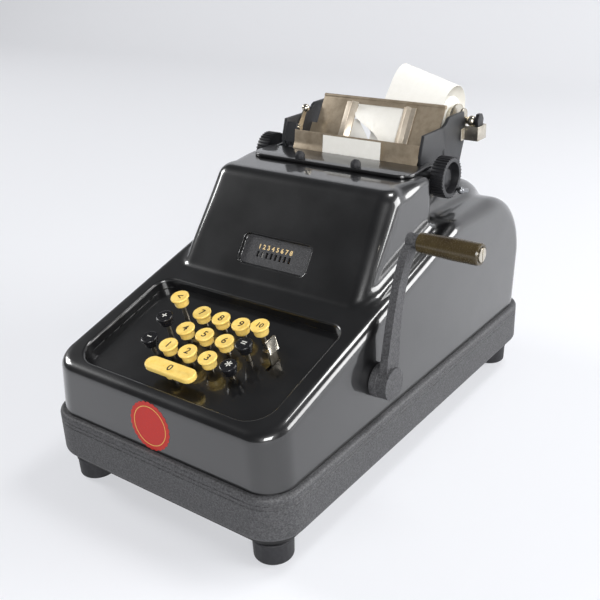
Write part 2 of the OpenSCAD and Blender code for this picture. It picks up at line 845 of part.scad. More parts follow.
// Folded guide that clips to the table's rolled edge.
module paper_guide(side) {
    w = 12;
    color(nickel) on_table() translate([side * 23, 0, 1.05]) mirror([side < 0 ? 1 : 0, 0, 0]) {
        along_y(1, table_len - 4) polygon([[0, 0], [w, 0], [w, 0.8], [w * 0.62, 0.8], [w * 0.4, 4], [0, 0.8]]);
    }
}

module along_y(y0, y1) {
    translate([0, y1, 0]) rotate([90, 0, 0]) linear_extrude(y1 - y0) children();
}

module paper_guide_left() { paper_guide(-1); }
module paper_guide_right() { paper_guide(1); }

ball_pivot_y = 84;
ball_pivot_z = 226;
ball_y = 95;
ball_z = 241;

// Paper release: a thin arm inside the left plate with a ball at its end.
module ball_lever() {
    x = -side_half + side_t;
    color(nickel) {
        along_x(x + 0.2, x + 1.8) union() {
            translate([ball_pivot_y, ball_pivot_z]) circle(4);
            polygon([[ball_pivot_y - 3, ball_pivot_z + 2], [ball_pivot_y + 3, ball_pivot_z - 2],
                     [ball_y + 1.4, ball_z - 1], [ball_y - 1.4, ball_z + 1]]);
        }
        translate([x + 1, ball_y, ball_z]) sphere(3.6);
        rod_x(x + 1.6, x + 3.2, ball_pivot_y, ball_pivot_z, 2.5);
    }
}

// Flat bars that carry the roll's spindle behind the carriage.
module roll_arms() {
    color(nickel) for (x = [-side_half + side_t + 0.1, side_half - side_t - 2.1]) difference() {
        along_x(x, x + 2) union() {
            polygon([[122, 204], [131, 202], [149, 231], [149, 240], [138, 240], [137, 231]]);
            translate([spindle_y, spindle_z + 4]) circle(6);
        }
        rod_x(x - 1, x + 3, spindle_y, spindle_z, spindle_r + run_fit);
    }
}

module roll_spindle() {
    end = side_half + 4;
    color(nickel) {
        rod_x(-end + 2, end, spindle_y, spindle_z, spindle_r);
        rod_x(58.4, 60.4, spindle_y, spindle_z, 13);
        rod_x(roll_x - 3, 58.5, spindle_y, spindle_z, core_r - run_fit);
        translate([end, spindle_y, spindle_z]) sphere(4.4);
    }
}

// Channel that holds the spindle's end outside the right plate.
module spindle_clip() {
    wall = 1.4;
    clip_z = spindle_z - 15;
    color(nickel) difference() {
        union() {
            difference() {
                translate([side_half, spindle_y - 8, clip_z]) cube([14, 16, 12]);
                translate([side_half - 1, spindle_y - 8 + wall, clip_z + wall]) cube([15 - wall, 16 - 2 * wall, 20]);
            }
            translate([side_half, spindle_y - 13, clip_z]) cube([1.2, 21, 10]);
            rod_x(side_half + 8.6, side_half + 13, spindle_y, clip_z + 7, 1.4);
        }
    }
}

module clip_thumb() {
    clip_z = spindle_z - 15;
    color(jet) difference() {
        along_x(side_half + 9, side_half + 12.2) translate([spindle_y, clip_z]) polygon([
            [-3.2, 3.4], [3.2, 3.4], [4.4, 12], [5.6, 17], [2.4, 21.6], [-2.4, 21.6], [-5.6, 17], [-4.4, 12]
        ]);
        rod_x(side_half, side_half + 20, spindle_y, clip_z + 7, 1.4 + run_fit);
    }
}

module paper_roll() {
    color(paper) translate([roll_x, spindle_y, spindle_z]) rotate([0, 90, 0]) difference() {
        cylinder(h = paper_w, r = roll_r);
        translate([0, 0, -1]) cylinder(h = paper_w + 2, r = core_r);
    }
}

// Part of a thin ring between two angles.
module arc_strip(r, t, a0, a1) {
    steps = ceil((a1 - a0) / 40);
    intersection() {
        difference() {
            circle(r + t);
            circle(r);
        }
        polygon(concat([[0, 0]], [for (i = [0:steps]) 2 * r * [cos(a0 + (a1 - a0) * i / steps),
                                                              sin(a0 + (a1 - a0) * i / steps)]]));
    }
}

// Paper below the platen, up in front of it and up behind the table, and the roll's loose outer turn.
module paper_strip() {
    wrap = platen_r + 0.3;
    mid = wrap + paper_t / 2;
    turn = [table_low_y - 0.515 + 0.94, table_low_z - 0.857 - 0.57];
    away = [turn[0] - platen_y, turn[1] - platen_z];
    leave = atan2(away[1], away[0]) - acos(mid / norm(away));
    color(paper) {
        along_x(web_x, web_x + paper_w) {
            translate([platen_y, platen_z]) arc_strip(wrap, paper_t, 180, 360 + leave);
            polygon([[platen_y - wrap - paper_t, platen_z + 0.1], [platen_y - wrap - paper_t, platen_z - 0.1],
                     [platen_y - wrap, platen_z - 0.1], [62.2, 228.6], [61.9, 228.6]]);
            web_piece([platen_y + mid * cos(leave), platen_z + mid * sin(leave)], turn);
            web_piece(turn, [turn[0] + 34 * cos(table_tilt), turn[1] + 34 * sin(table_tilt)]);
            translate(turn) circle(paper_t / 2, $fn = 16);
        }
        translate([roll_x + paper_w, spindle_y, spindle_z]) rotate([0, loop_tilt, 0])
            translate([-paper_w - 1, 0, 0]) along_x(0, paper_w) arc_strip(roll_r + 3.5, paper_t, 0, 135);
    }
}

// Straight piece of paper in section, from point a to point b.
module web_piece(a, b) {
    n = paper_t / 2 * [a[1] - b[1], b[0] - a[0]] / norm(b - a);
    polygon([a - n, b - n, b + n, a + n]);
}

// Side frame with a shelf and a pin for its ribbon spool; side is -1 or 1.
module frame_plate(side) {
    x0 = side > 0 ? frame_half : -frame_half - frame_t;
    shelf_l = frame_half - spool_x + 12;
    color(steel) difference() {
        union() {
            along_x(x0, x0 + frame_t) {
                polygon([
                    [-frame_end_y, base_bottom + frame_foot], [frame_end_y, base_bottom + frame_foot],
                    [frame_end_y, 120], [frame_end_y - 60, 165], [-20, 150], [-70, 118], [-frame_end_y, 90]
                ]);
                translate([spool_y - 12, 140]) square([24, spool_z - 140]);
            }
            translate([side > 0 ? frame_half - shelf_l : -frame_half, spool_y - 12, spool_z - 4])
                cube([shelf_l, 24, 3]);
            translate([side * spool_x, spool_y, spool_z - 2]) cylinder(h = 14, r = 3);
        }
        rod_x(x0 - 1, x0 + 5, crank_y, crank_z, shaft_r + run_fit);
        for (p = rod_places()) rod_x(x0 - 1, x0 + 5, p[0], p[1], p[2]);
    }
}

function rod_places() = [
    [sector_y, sector_z, 4], [wheel_y, wheel_z, 3], [basket_y - 8, basket_z - 5, rail_r],
    [basket_y + 8, basket_z - 5, rail_r], [20 - frame_end_y, 50, 4], [frame_end_y - 20, 50, 4],
    [frame_end_y - 50, 140, 4]
];

module frame_left() { frame_plate(-1); }
module frame_right() { frame_plate(1); }

module frame_rods() {
    end = frame_half + frame_t + 2;
    color(steel) for (p = rod_places()) rod_x(-end, end, p[0], p[1], p[2]);
}

module ribbon_spool() {
    h = 12;
    translate([0, 0, spool_z]) rotate_extrude() polygon([
        [3 + run_fit, 0], [spool_r, 0], [spool_r, 1], [spool_r - 4, 1], [spool_r - 4, h - 1], [spool_r, h - 1],
        [spool_r, h], [3 + run_fit, h]
    ]);
}

module ribbon_spool_left() { color(jet) translate([-spool_x, spool_y, 0]) ribbon_spool(); }
module ribbon_spool_right() { color(jet) translate([spool_x, spool_y, 0]) ribbon_spool(); }

// One blade for each column, drawn where the column stands.
module column_blades() {
    for (i = [0:column_count - 1]) {
        x = column_x + i * column_pitch;
        along_x(x - sector_t / 2, x + sector_t / 2) children();
    }
}

module type_sectors() {
    low = -12;
    high = 26;
    color(steel) difference() {
        union() {
            column_blades() translate([sector_y, sector_z]) {
                arc_strip(sector_r - 7, 7, low, high);
                rotate(7) translate([0, -3]) square([sector_r - 2, 6]);
                circle(9);
                arc_strip(6, tail_r - 6, 140, 215);
            }
            rod_x(column_x - 6, column_x + columns_w + 6, sector_y, sector_z, 7);
        }
        rod_x(-80, 80, sector_y, sector_z, 4 + run_fit);
    }
}

module adding_wheels() {
    color("#a08a4a") difference() {
        union() {
            column_blades() translate([wheel_y, wheel_z]) {
                circle(wheel_r - 1.5, $fn = 40);
                for (k = [0:9]) rotate(36 * k) translate([wheel_r - 2.5, -0.8]) square([2.5, 1.6]);
            }
            rod_x(column_x - 5, column_x + columns_w + 5, wheel_y, wheel_z, 5);
        }
        rod_x(-80, 80, wheel_y, wheel_z, 3 + run_fit);
    }
}

base_casting();
bottom_pan();
feet();
foot_screws();
case_shell();
key_plate();
indicator_panel();
hood_plate();
hood_bumpers();
key_0();
key_1();
key_2();
key_3();
key_4();
key_5();
key_6();
key_7();
key_8();
key_9();
key_ten();
key_back();
key_black_a();
key_black_b();
key_black_c();
key_black_d();
repeat_lever();
crank_bearing();
crank_shaft();
crank_arm();
crank_grip();
grip_screw();
drive_cam();
carriage_side_left();
carriage_side_right();
carriage_beam();
platen_roller();
platen_shaft();
knob_left();
knob_right();
release_lever();
tear_bar();
paper_table();
paper_guide_left();
paper_guide_right();
ball_lever();
roll_arms();
roll_spindle();
spindle_clip();
clip_thumb();
paper_roll();
paper_strip();
frame_left();
frame_right();
frame_rods();
type_sectors();
adding_wheels();
pin_basket();
column_flag();
ribbon_spool_left();
ribbon_spool_right();
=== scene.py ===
"""Looks for a ten-key adding machine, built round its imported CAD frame.

Every piece is in metres, in the frame of the CAD model: +X is the operator's right, +Y the rear, +Z up.
"""

import math

import bpy
import numpy as np
from mathutils import Matrix, Vector


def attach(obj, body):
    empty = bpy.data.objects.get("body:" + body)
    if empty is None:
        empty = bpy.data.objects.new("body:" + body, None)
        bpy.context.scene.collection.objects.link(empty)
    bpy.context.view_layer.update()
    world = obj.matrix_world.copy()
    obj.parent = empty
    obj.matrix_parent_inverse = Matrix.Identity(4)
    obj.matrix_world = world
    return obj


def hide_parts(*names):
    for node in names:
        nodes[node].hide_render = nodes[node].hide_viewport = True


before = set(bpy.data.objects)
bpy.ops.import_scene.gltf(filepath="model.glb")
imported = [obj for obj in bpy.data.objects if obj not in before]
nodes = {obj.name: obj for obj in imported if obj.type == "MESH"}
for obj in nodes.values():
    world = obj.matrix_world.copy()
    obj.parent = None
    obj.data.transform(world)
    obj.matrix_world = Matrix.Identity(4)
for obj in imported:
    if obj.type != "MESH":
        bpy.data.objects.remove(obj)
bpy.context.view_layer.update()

MM = 0.001

# Sizes repeated from the part's source, in millimetres and degrees

BASE_TOP = 60.8
CASE_HALF = 108.5
CASE_LEAN = 2.0
CASE_FRONT = 187.5
CASE_CORNER = 22.9
FRONT_LEAN = 0.04
BACK_LEAN = 0.03
DECK_Y = -165.0
DECK_Z = 108.6
DECK_SLOPE = 15.84
DECK_EDGE = 8.0
REAR_EDGE = 12.0
REAR_Z = 173.0
REAR_ROUND = 60.0
KNEE_Y = 68.9
KNEE_ROUND = 50.0
SADDLE_HALF = 77.6
SADDLE_Z = 187.0
SADDLE_ROUND = 60.0
SADDLE_FRONT = 40.0
SADDLE_BACK = 180.0
HOOD_Y = -54.35
HOOD_FOOT_Z = 143.0
HOOD_SLOPE = 54.8
HOOD_FOOT_HALF = 89.4
HOOD_LEAN = 0.0275
HOOD_BACK = 48.0
HOOD_Z = 212.0
WELL_HALF = 89.0
WELL_FRONT = -10.9
WELL_BACK = 92.5
WELL_FLOOR = -8.3
PANEL_HALF = 33.0
PANEL_MID = 21.5
PANEL_TALL = 12.3
PANEL_SINK = 3.25
BAY_HALF = 71.2
BAY_FRONT = 50.0
BAY_BACK = 74.0
BAY_FLOOR = 181.0
SLOT_HALF = 63.2
SLOT_FRONT = 36.0
SLOT_BACK = 52.0
SLOT_FLOOR = 187.0
KEY_X = -2.45
KEY_S = 24.6
ZERO_S = 5.2
KEY_PITCH_X = 19.05
KEY_PITCH_S = 19.5
CAP_TALL = 8.0
CAP_R = 7.2
PLATEN = (71.5, 205.3)
SPINDLE = (143.0, 234.0)
CRANK = (-64.0, 92.5)

deck_sin = math.sin(math.radians(DECK_SLOPE))
deck_cos = math.cos(math.radians(DECK_SLOPE))
hood_sin = math.sin(math.radians(HOOD_SLOPE))
hood_cos = math.cos(math.radians(HOOD_SLOPE))


def sloped_frame(y, z, slope):
    return Matrix.Translation((0, y * MM, z * MM)) @ Matrix.Rotation(math.radians(slope), 4, "X")


deck_frame = sloped_frame(DECK_Y, DECK_Z, DECK_SLOPE)
hood_frame = sloped_frame(HOOD_Y, HOOD_FOOT_Z, HOOD_SLOPE)


# Helpers for objects


def pick(*objects):
    """Selects only these objects and makes the first one active."""
    bpy.ops.object.select_all(action="DESELECT")
    for obj in objects:
        obj.select_set(True)
    bpy.context.view_layer.objects.active = objects[0]


def settle(obj):
    """Puts the object's place into its mesh."""
    pick(obj)
    bpy.ops.object.transform_apply(location=True, rotation=True, scale=True)


def named(name):
    """Names the object that an operator has just added, and returns it."""
    obj = bpy.context.active_object
    obj.name = name
    obj.data.name = name
    return obj


def box(name, low, high):
    """Starts a piece from a cube between two corners in millimetres."""
    low = Vector(low) * MM
    high = Vector(high) * MM
    bpy.ops.mesh.primitive_cube_add(size=1, location=(low + high) / 2, scale=high - low)
    obj = named(name)
    settle(obj)
    return obj


def disc(name, centre, radius, depth, sides):
    """Starts a piece from a cylinder along X, round a middle point in millimetres."""
    place = Vector(centre) * MM
    bpy.ops.mesh.primitive_cylinder_add(
        vertices=sides, radius=radius * MM, depth=depth * MM, location=place, rotation=(0, math.pi / 2, 0)
    )
    obj = named(name)
    settle(obj)
    return obj


def put(obj, matrix):
    """Turns and moves a piece, and puts the result into its mesh."""
    obj.matrix_world = matrix
    settle(obj)
    return obj


def edit(obj, mode="VERT", action="SELECT"):
    """Opens a piece in edit mode with everything selected, or nothing."""
    pick(obj)
    bpy.ops.object.mode_set(mode="EDIT")
    bpy.ops.mesh.select_mode(type=mode)
    bpy.ops.mesh.select_all(action=action)


def leave_edit():
    bpy.ops.object.mode_set(mode="OBJECT")


def clear_marks(obj, mode):
    """Deselects all of a mesh, so that the script can mark what it wants."""
    edit(obj, mode, "DESELECT")
    leave_edit()


def edit_marked():
    """Opens the active piece in edit mode with what the script has marked."""
    bpy.ops.object.mode_set(mode="EDIT")


def mark_faces(obj, wanted):
    """Opens a piece in edit mode with only these faces selected."""
    clear_marks(obj, "FACE")
    obj.data.polygons.foreach_set("select", wanted)
    edit_marked()


def cut_away(obj, point, normal, closed=True):
    """Cuts off all that lies beyond a plane, and closes the cut or leaves it open."""
    edit(obj)
    bpy.ops.mesh.bisect(plane_co=Vector(point) * MM, plane_no=normal, use_fill=closed, clear_outer=True)
    leave_edit()


def round_uprights(obj, width, segments, low_y=-math.inf, high_y=math.inf):
    """Bevels the upright edges of a block, all of them or those between two places along Y."""
    clear_marks(obj, "EDGE")
    for edge in obj.data.edges:
        a, b = (obj.data.vertices[i].co / MM for i in edge.vertices)
        upright = abs(a.z - b.z) > 2 and abs(a.x - b.x) < 1 and abs(a.y - b.y) < 1
        edge.select = upright and low_y < a.y < high_y
    edit_marked()
    bpy.ops.mesh.bevel(offset=width * MM, segments=segments, affect="EDGES")
    leave_edit()


def use_modifier(obj, kind, **settings):
    """Adds a modifier with its settings and applies it."""
    pick(obj)
    modifier = obj.modifiers.new(kind.lower(), kind)
    for key, value in settings.items():
        setattr(modifier, key, value)
    bpy.ops.object.modifier_apply(modifier=modifier.name)


def combine(obj, other, operation):
    """Joins, cuts or meets one piece with another, which is used up."""
    use_modifier(obj, "BOOLEAN", object=other, operation=operation, solver="EXACT")
    bpy.data.objects.remove(other)


def smooth(obj, angle):
    """Shades a piece smooth, apart from edges that are sharper than an angle."""
    pick(obj)
    bpy.ops.object.shade_smooth_by_angle(angle=math.radians(angle))


def dress(obj, material, body, slot, *replaced):
    """Gives a finished piece its material and its body; the slot is not used."""
    obj.data.materials.clear()
    obj.data.materials.append(material)
    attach(obj, body)
    if replaced:
        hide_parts(*replaced)
    return obj


# Helpers for materials


def colour(text):
    """Turns an sRGB hex value to linear."""
    parts = [int(text[i : i + 2], 16) / 255 for i in (1, 3, 5)]
    return [c / 12.92 if c <= 0.04045 else ((c + 0.055) / 1.055) ** 2.4 for c in parts] + [1.0]


def add(tree, kind, links=None, values=None, **settings):
    """Adds one node with its settings, its fixed inputs and the links that feed it."""
    made = tree.nodes.new(kind)
    for key, value in settings.items():
        setattr(made, key, value)
    for key, value in (values or {}).items():
        made.inputs[key].default_value = value
    for key, source in (links or {}).items():
        tree.links.new(source, made.inputs[key])
    return made


def start_material(name, base, roughness, metallic=0.0, **extra):
    """Starts a material on the standard surface shader."""
    material = bpy.data.materials.new(name)
    material.use_nodes = True
    tree = material.node_tree
    shader = tree.nodes["Principled BSDF"]
    shader.inputs["Base Color"].default_value = colour(base)
    shader.inputs["Roughness"].default_value = roughness
    shader.inputs["Metallic"].default_value = metallic
    for key, value in extra.items():
        shader.inputs[key.replace("_", " ")].default_value = value
    place = add(tree, "ShaderNodeTexCoord").outputs["Object"]
    return material, tree, shader, place


def grain(tree, place, size, detail=2.0, roughness=0.5, distortion=0.0):
    """Noise whose lumps are about so many millimetres across."""
    return add(
        tree,
        "ShaderNodeTexNoise",
        {"Vector": place},
        {"Scale": 1 / (size * MM), "Detail": detail, "Roughness": roughness, "Distortion": distortion},
    ).outputs["Fac"]


def spread(tree, value, low, high, out_low=0.0, out_high=1.0):
    """Stretches a range of a value to another range."""
    return add(
        tree,
        "ShaderNodeMapRange",
        {"Value": value},
        {"From Min": low, "From Max": high, "To Min": out_low, "To Max": out_high},
    ).outputs["Result"]


def two_tone(tree, shader, amount, first, second):
    """Colours the surface between two hex values."""
    mix = add(tree, "ShaderNodeMix", {"Factor": amount}, data_type="RGBA")
    colours = [socket for socket in mix.inputs if socket.type == "RGBA"]
    colours[0].default_value = colour(first)
    colours[1].default_value = colour(second)
    result = [socket for socket in mix.outputs if socket.type == "RGBA"][0]
    tree.links.new(result, shader.inputs["Base Color"])


def dull(tree, shader, value, low, high, least, most):
    """Spreads a range of a value over a range of roughness."""
    tree.links.new(spread(tree, value, low, high, least, most), shader.inputs["Roughness"])


def relief(tree, shader, height, depth, strength, socket="Normal"):
    """Raises the surface, or its clear coat, by a height map so many millimetres deep."""
    bump = add(tree, "ShaderNodeBump", {"Height": height}, {"Strength": strength, "Distance": depth * MM})
    tree.links.new(bump.outputs["Normal"], shader.inputs[socket])


# Materials


def baked_enamel(name, haze):
    """Baked black enamel on steel: a deep clear gloss over a hazier skin, with a film of dust."""
    material, tree, shader, place = start_material(
        name, "#0b0b0c", 0.42, Coat_Weight=1.0, Coat_Roughness=haze, Coat_IOR=1.6
    )
    dust = grain(tree, place, 0.7, 6, 0.7)
    patches = grain(tree, place, 38, 3)
    film = add(tree, "ShaderNodeMath", {0: dust, 1: patches}, operation="MULTIPLY").outputs[0]
    two_tone(tree, shader, spread(tree, film, 0.2, 0.46), "#070708", "#131315")
    dull(tree, shader, film, 0.15, 0.5, 0.3, 0.44)
    relief(tree, shader, grain(tree, place, 6, 1), 0.01, 0.4, "Coat Normal")
    return material


def wrinkle_paint(name, base, light, size, rough):
    """Wrinkle paint: a dry black skin of raised worms, whose crests are painted lighter as a painted
    highlight.
    """
    material, tree, shader, place = start_material(name, base, rough)
    worms = add(
        tree,
        "ShaderNodeTexVoronoi",
        {"Vector": place},
        {"Scale": 1 / (size * MM), "Randomness": 1.0},
        feature="SMOOTH_F1",
    ).outputs["Distance"]
    lumps = grain(tree, place, size * 1.6, 3, 0.6, 1.2)
    height = add(tree, "ShaderNodeMath", {0: worms, 1: lumps}, operation="ADD").outputs[0]
    # Painted highlight: the raised crests get the lighter colour, as if they caught the light.
    two_tone(tree, shader, spread(tree, height, 0.5, 1.2), base, light)
    relief(tree, shader, height, 0.22, 0.75)
    return material


def even_coat(name, base, light, rough):
    """Sprayed or printed coat: one even tone, with specks of dust on it."""
    material, tree, shader, place = start_material(name, base, rough)
    specks = grain(tree, place, 1.3, 8, 0.75)
    two_tone(tree, shader, spread(tree, specks, 0.52, 0.72), base, light)
    dull(tree, shader, specks, 0.4, 0.7, rough - 0.05, rough + 0.2)
    return material


def plated(name, base, stain, rough, metal=1.0):
    """Plated sheet metal: soft rolled streaks, with stains where the plating has dulled."""
    material, tree, shader, place = start_material(name, base, rough, metal)
    stretch = add(tree, "ShaderNodeMapping", {"Vector": place}, {"Scale": (0.08, 1.0, 1.0)}).outputs[0]
    streaks = grain(tree, stretch, 0.35, 4)
    blots = grain(tree, place, 9, 5, 0.65)
    two_tone(tree, shader, spread(tree, blots, 0.42, 0.72), base, stain)
    dull(tree, shader, streaks, 0.25, 0.75, rough - 0.02, rough + 0.04)
    relief(tree, shader, streaks, 0.006, 0.15)
    return material


def moulded(name, base, shade, rough, size=6.0):
    """Moulded plastic: smooth, with slow changes of tone and a fine dulling from fingers."""
    material, tree, shader, place = start_material(name, base, rough)
    cloud = grain(tree, place, size, 4, 0.6)
    two_tone(tree, shader, spread(tree, cloud, 0.35, 0.7), base, shade)
    dull(tree, shader, grain(tree, place, 1.2, 4), 0.3, 0.7, rough - 0.05, rough + 0.1)
    relief(tree, shader, grain(tree, place, 2.5, 2), 0.02, 0.3)
    return material


def rubber(name, base="#17171a", light="#26262a", rough=0.62):
    """Moulded rubber: dull, slightly dusty black with a fine grain."""
    material, tree, shader, place = start_material(name, base, rough)
    cloud = grain(tree, place, 3, 6, 0.7)
    two_tone(tree, shader, spread(tree, cloud, 0.4, 0.7), base, light)
    relief(tree, shader, grain(tree, place, 0.5, 3), 0.04, 0.4)
    return material


def plain_paper():
    """Machine-finished paper: off white and matte, with faint fibre clouds."""
    material, tree, shader, place = start_material("plain_paper", "#f1efe8", 0.85)
    cloud = grain(tree, place, 5, 5, 0.6)
    two_tone(tree, shader, spread(tree, cloud, 0.3, 0.7), "#f2f0ea", "#edebe4")
    relief(tree, shader, grain(tree, place, 0.4, 3), 0.015, 0.3)
    return material


enamel = baked_enamel("baked_enamel", 0.05)
# The second colour of each wrinkle and crackle paint is the painted highlight on its crests.
wrinkle = wrinkle_paint("wrinkle_paint", "#262628", "#525254", 1.1, 0.55)
crackle = wrinkle_paint("crackle_paint", "#29292b", "#464648", 0.9, 0.5)
carriage_paint = wrinkle_paint("carriage_paint", "#17181a", "#26272a", 0.6, 0.45)
pan_paint = even_coat("pan_satin_black", "#141415", "#202022", 0.5)
well_paint = baked_enamel("well_enamel", 0.09)
nickel = plated("nickel_plate", "#cdc7ba", "#b0a899", 0.24)
toned = plated("toned_brown_sheet", "#a79985", "#8c7e6a", 0.44, 0.6)
guide_plate = plated("pale_toned_sheet", "#cfc4b4", "#b7aa98", 0.34, 0.6)
steel = plated("plain_steel", "#8f9194", "#6f7073", 0.35)
brass = plated("plain_brass", "#a88b4c", "#7d6636", 0.35)
ivory = moulded("ivory_yellow_casein", "#fbdc80", "#f2ca64", 0.3)
jet = moulded("black_casein", "#121214", "#1c1c1f", 0.25)
knob_black = moulded("black_phenolic", "#161618", "#232326", 0.35)
olive = moulded("olive_brown_phenolic", "#463c26", "#33291a", 0.22, 14)
ink = moulded("dark_filled_figures", "#2a1c0c", "#3a2a14", 0.5)
white_fill = moulded("white_filled_figures", "#d9d8d2", "#c6c5be", 0.5)
stem_steel = plated("stem_strip_steel", "#a29b8d", "#6e675b", 0.38)
seal_red = even_coat("printed_red_foil", "#b3231c", "#c93a2c", 0.42)
gold = even_coat("gold_transfer", "#d3ab5c", "#b98f42", 0.38)
figure_cream = even_coat("cream_transfer", "#f2d49a", "#dcb877", 0.4)
foot_rubber = rubber("foot_rubber")
platen_rubber = rubber("platen_rubber", "#1b1b1e", "#29292d", 0.45)
paper = plain_paper()

finishes = (
    (wrinkle, "base_casting crank_bearing crank_arm"),
    (pan_paint, "bottom_pan"),
    (foot_rubber, "feet hood_bumpers"),
    (enamel, "case_shell hood_plate"),
    (well_paint, "key_plate"),
    (crackle, "indicator_panel"),
    (carriage_paint, "carriage_side_left carriage_side_right carriage_beam"),
    (platen_rubber, "platen_roller"),
    (knob_black, "knob_left knob_right clip_thumb"),
    (olive, "crank_grip"),
    (toned, "tear_bar paper_table"),
    (guide_plate, "paper_guide_left paper_guide_right"),
    (nickel, "repeat_lever grip_screw ball_lever roll_arms roll_spindle spindle_clip"),
    (steel, "foot_screws crank_shaft drive_cam platen_shaft release_lever frame_left frame_right"),
    (steel, "frame_rods type_sectors pin_basket ribbon_spool_left ribbon_spool_right"),
    (brass, "adding_wheels"),
    (paper, "paper_roll paper_strip column_flag"),
)
by_node = {name: made for made, names in finishes for name in names.split()}
for key_name in [name for name in nodes if name.startswith("key_") and name != "key_plate"]:
    by_node[key_name] = jet if "black" in key_name else ivory
for name, made in by_node.items():
    nodes[name].data.materials.clear()
    nodes[name].data.materials.append(made)


# Case: one enamelled sheet, built from blocks and then trued to its round edges and hollow fillets.
# A solid is held as each point's distance from its surface and the way out, in millimetres.


SIDE_DROP = 10.0
SIDE_LEAST = 95.0
SIDE_MOST = 166.0
CASE_VOXEL = 2.4
SADDLE_FILLET = 6.0
HOOD_FILLET = 8.0
HOOD_CORNER = 11.0
HOOD_BROW = 14.0
WELL_LIP = 2.2
WELL_NEAR_CORNER = 20.0
WELL_FAR_CORNER = 12.0
PANEL_LIP = 0.9
PANEL_CORNER = 4.5
BAY_LIP = 0.8


def deck_point(s, n):
    """A point of the middle plane: s up the deck from its front edge, n out of it."""
    return 0, DECK_Y + s * deck_cos - n * deck_sin, DECK_Z + s * deck_sin + n * deck_cos


def hood_point(v, n):
    """A point of the middle plane: v up the hood's front from its foot, n out of it."""
    return 0, HOOD_Y + v * hood_cos - n * hood_sin, HOOD_FOOT_Z + v * hood_sin + n * hood_cos


def up_deck(p):
    return (p[:, 1] - DECK_Y) * deck_cos + (p[:, 2] - DECK_Z) * deck_sin


def off_deck(p):
    return (p[:, 1] - DECK_Y) * -deck_sin + (p[:, 2] - DECK_Z) * deck_cos


def up_hood(p):
    return (p[:, 1] - HOOD_Y) * hood_cos + (p[:, 2] - HOOD_FOOT_Z) * hood_sin


def off_hood(p):
    return (p[:, 1] - HOOD_Y) * -hood_sin + (p[:, 2] - HOOD_FOOT_Z) * hood_cos


def flip(a):
    """Turns a solid inside out."""
    return -a[0], -a[1]


def round_join(a, b, radius):
    """Meets two solids, each a distance and its direction, with a round outer edge."""
    da, ga = a
    db, gb = b
    c = np.clip((ga * gb).sum(1), -0.97, 0.97)
    pa = da + radius
    pb = db + radius
    wa = (pa - c * pb) / (1 - c * c)
    wb = (pb - c * pa) / (1 - c * c)
    q = wa[:, None] * ga + wb[:, None] * gb
    length = np.maximum(np.linalg.norm(q, axis=1), 1e-9)
    on_round = (wa > 0) & (wb > 0)
    d = np.where(on_round, length - radius, np.maximum(da, db))
    g = np.where(on_round[:, None], q / length[:, None], np.where((da > db)[:, None], ga, gb))
    return d, g


def fillet_join(a, b, radius):
    """Adds two solids with a hollow fillet between them."""
    return flip(round_join(flip(a), flip(b), radius))


def plane(p, point, normal):
    """All that lies behind a plane."""
    normal = np.asarray(normal, float)
    normal = normal / np.linalg.norm(normal)
    return (p - np.asarray(point, float)) @ normal, np.tile(normal, (len(p), 1))


def side_pair(p, half, lean=0.0, z0=0.0):
    """Two walls that stand at plus and minus half the width and lean in with height."""
    scale = 1 / math.sqrt(1 + lean * lean)
    d = (np.abs(p[:, 0]) - half + lean * (p[:, 2] - z0)) * scale
    g = np.zeros_like(p)
    g[:, 0] = np.sign(p[:, 0]) * scale
    g[:, 2] = lean * scale
    return d, g


def choose(test, a, b):
    """Takes one solid where a test holds and the other elsewhere."""
    return np.where(test, a[0], b[0]), np.where(test[:, None], a[1], b[1])


def ease(value, low, high):
    """Rises smoothly from 0 to 1 between two values."""
    t = np.clip((value - low) / (high - low), 0, 1)
    return t * t * (3 - 2 * t)


def case_body(p):
    """Deck, knee, level top and round back, with sides whose lean keeps to the edge above."""
    y = p[:, 1]
    slope = deck_sin / deck_cos
    bend_y = KNEE_Y - KNEE_ROUND * deck_sin
    in_bend = (y > bend_y) & (y < KNEE_Y)
    run = np.clip(KNEE_Y - y, 0, KNEE_ROUND * deck_sin)
    bend_angle = np.where(in_bend, np.arcsin(run / KNEE_ROUND), 0)
    angle = np.where(y <= bend_y, math.radians(DECK_SLOPE), bend_angle)
    height = np.where(
        y <= bend_y,
        DECK_Z + slope * (y - DECK_Y),
        np.where(in_bend, REAR_Z - KNEE_ROUND + np.sqrt(KNEE_ROUND**2 - run**2), REAR_Z),
    )
    top = (
        (p[:, 2] - height) * np.cos(angle),
        np.stack([np.zeros_like(y), -np.sin(angle), np.cos(angle)], 1),
    )
    edge_z = np.clip(height - SIDE_DROP, SIDE_LEAST, SIDE_MOST)
    lean = CASE_LEAN / (edge_z - BASE_TOP)
    d = np.abs(p[:, 0]) - CASE_HALF + lean * (p[:, 2] - BASE_TOP)
    g = np.stack([np.sign(p[:, 0]), np.zeros_like(y), lean], 1)
    side = (d, g / np.linalg.norm(g, axis=1)[:, None])
    front = plane(p, (0, -CASE_FRONT, BASE_TOP), (0, -1, FRONT_LEAN))
    back = plane(p, (0, CASE_FRONT, BASE_TOP), (0, 1, BACK_LEAN))
    ahead = round_join(round_join(side, front, CASE_CORNER), top, DECK_EDGE)
    low = np.clip((REAR_Z - REAR_ROUND - p[:, 2]) / (REAR_Z - REAR_ROUND - BASE_TOP), 0, 1)
    radius = DECK_EDGE + (REAR_EDGE - DECK_EDGE) * ease(y, 30, 120)
    radius = radius + (CASE_CORNER - REAR_EDGE) * low * ease(y, 90, 150)
    behind = round_join(round_join(top, back, REAR_ROUND), side, radius)
    return choose(y < 0, ahead, behind)


def case_saddle(p):
    side = side_pair(p, SADDLE_HALF)
    top = plane(p, (0, 0, SADDLE_Z), (0, 0, 1))
    back = plane(p, (0, SADDLE_BACK, 0), (0, 1, 0))
    front = plane(p, (0, SADDLE_FRONT, 0), (0, -1, 0))
    shape = round_join(round_join(top, back, SADDLE_ROUND), side, REAR_EDGE)
    return round_join(shape, front, 1.0)


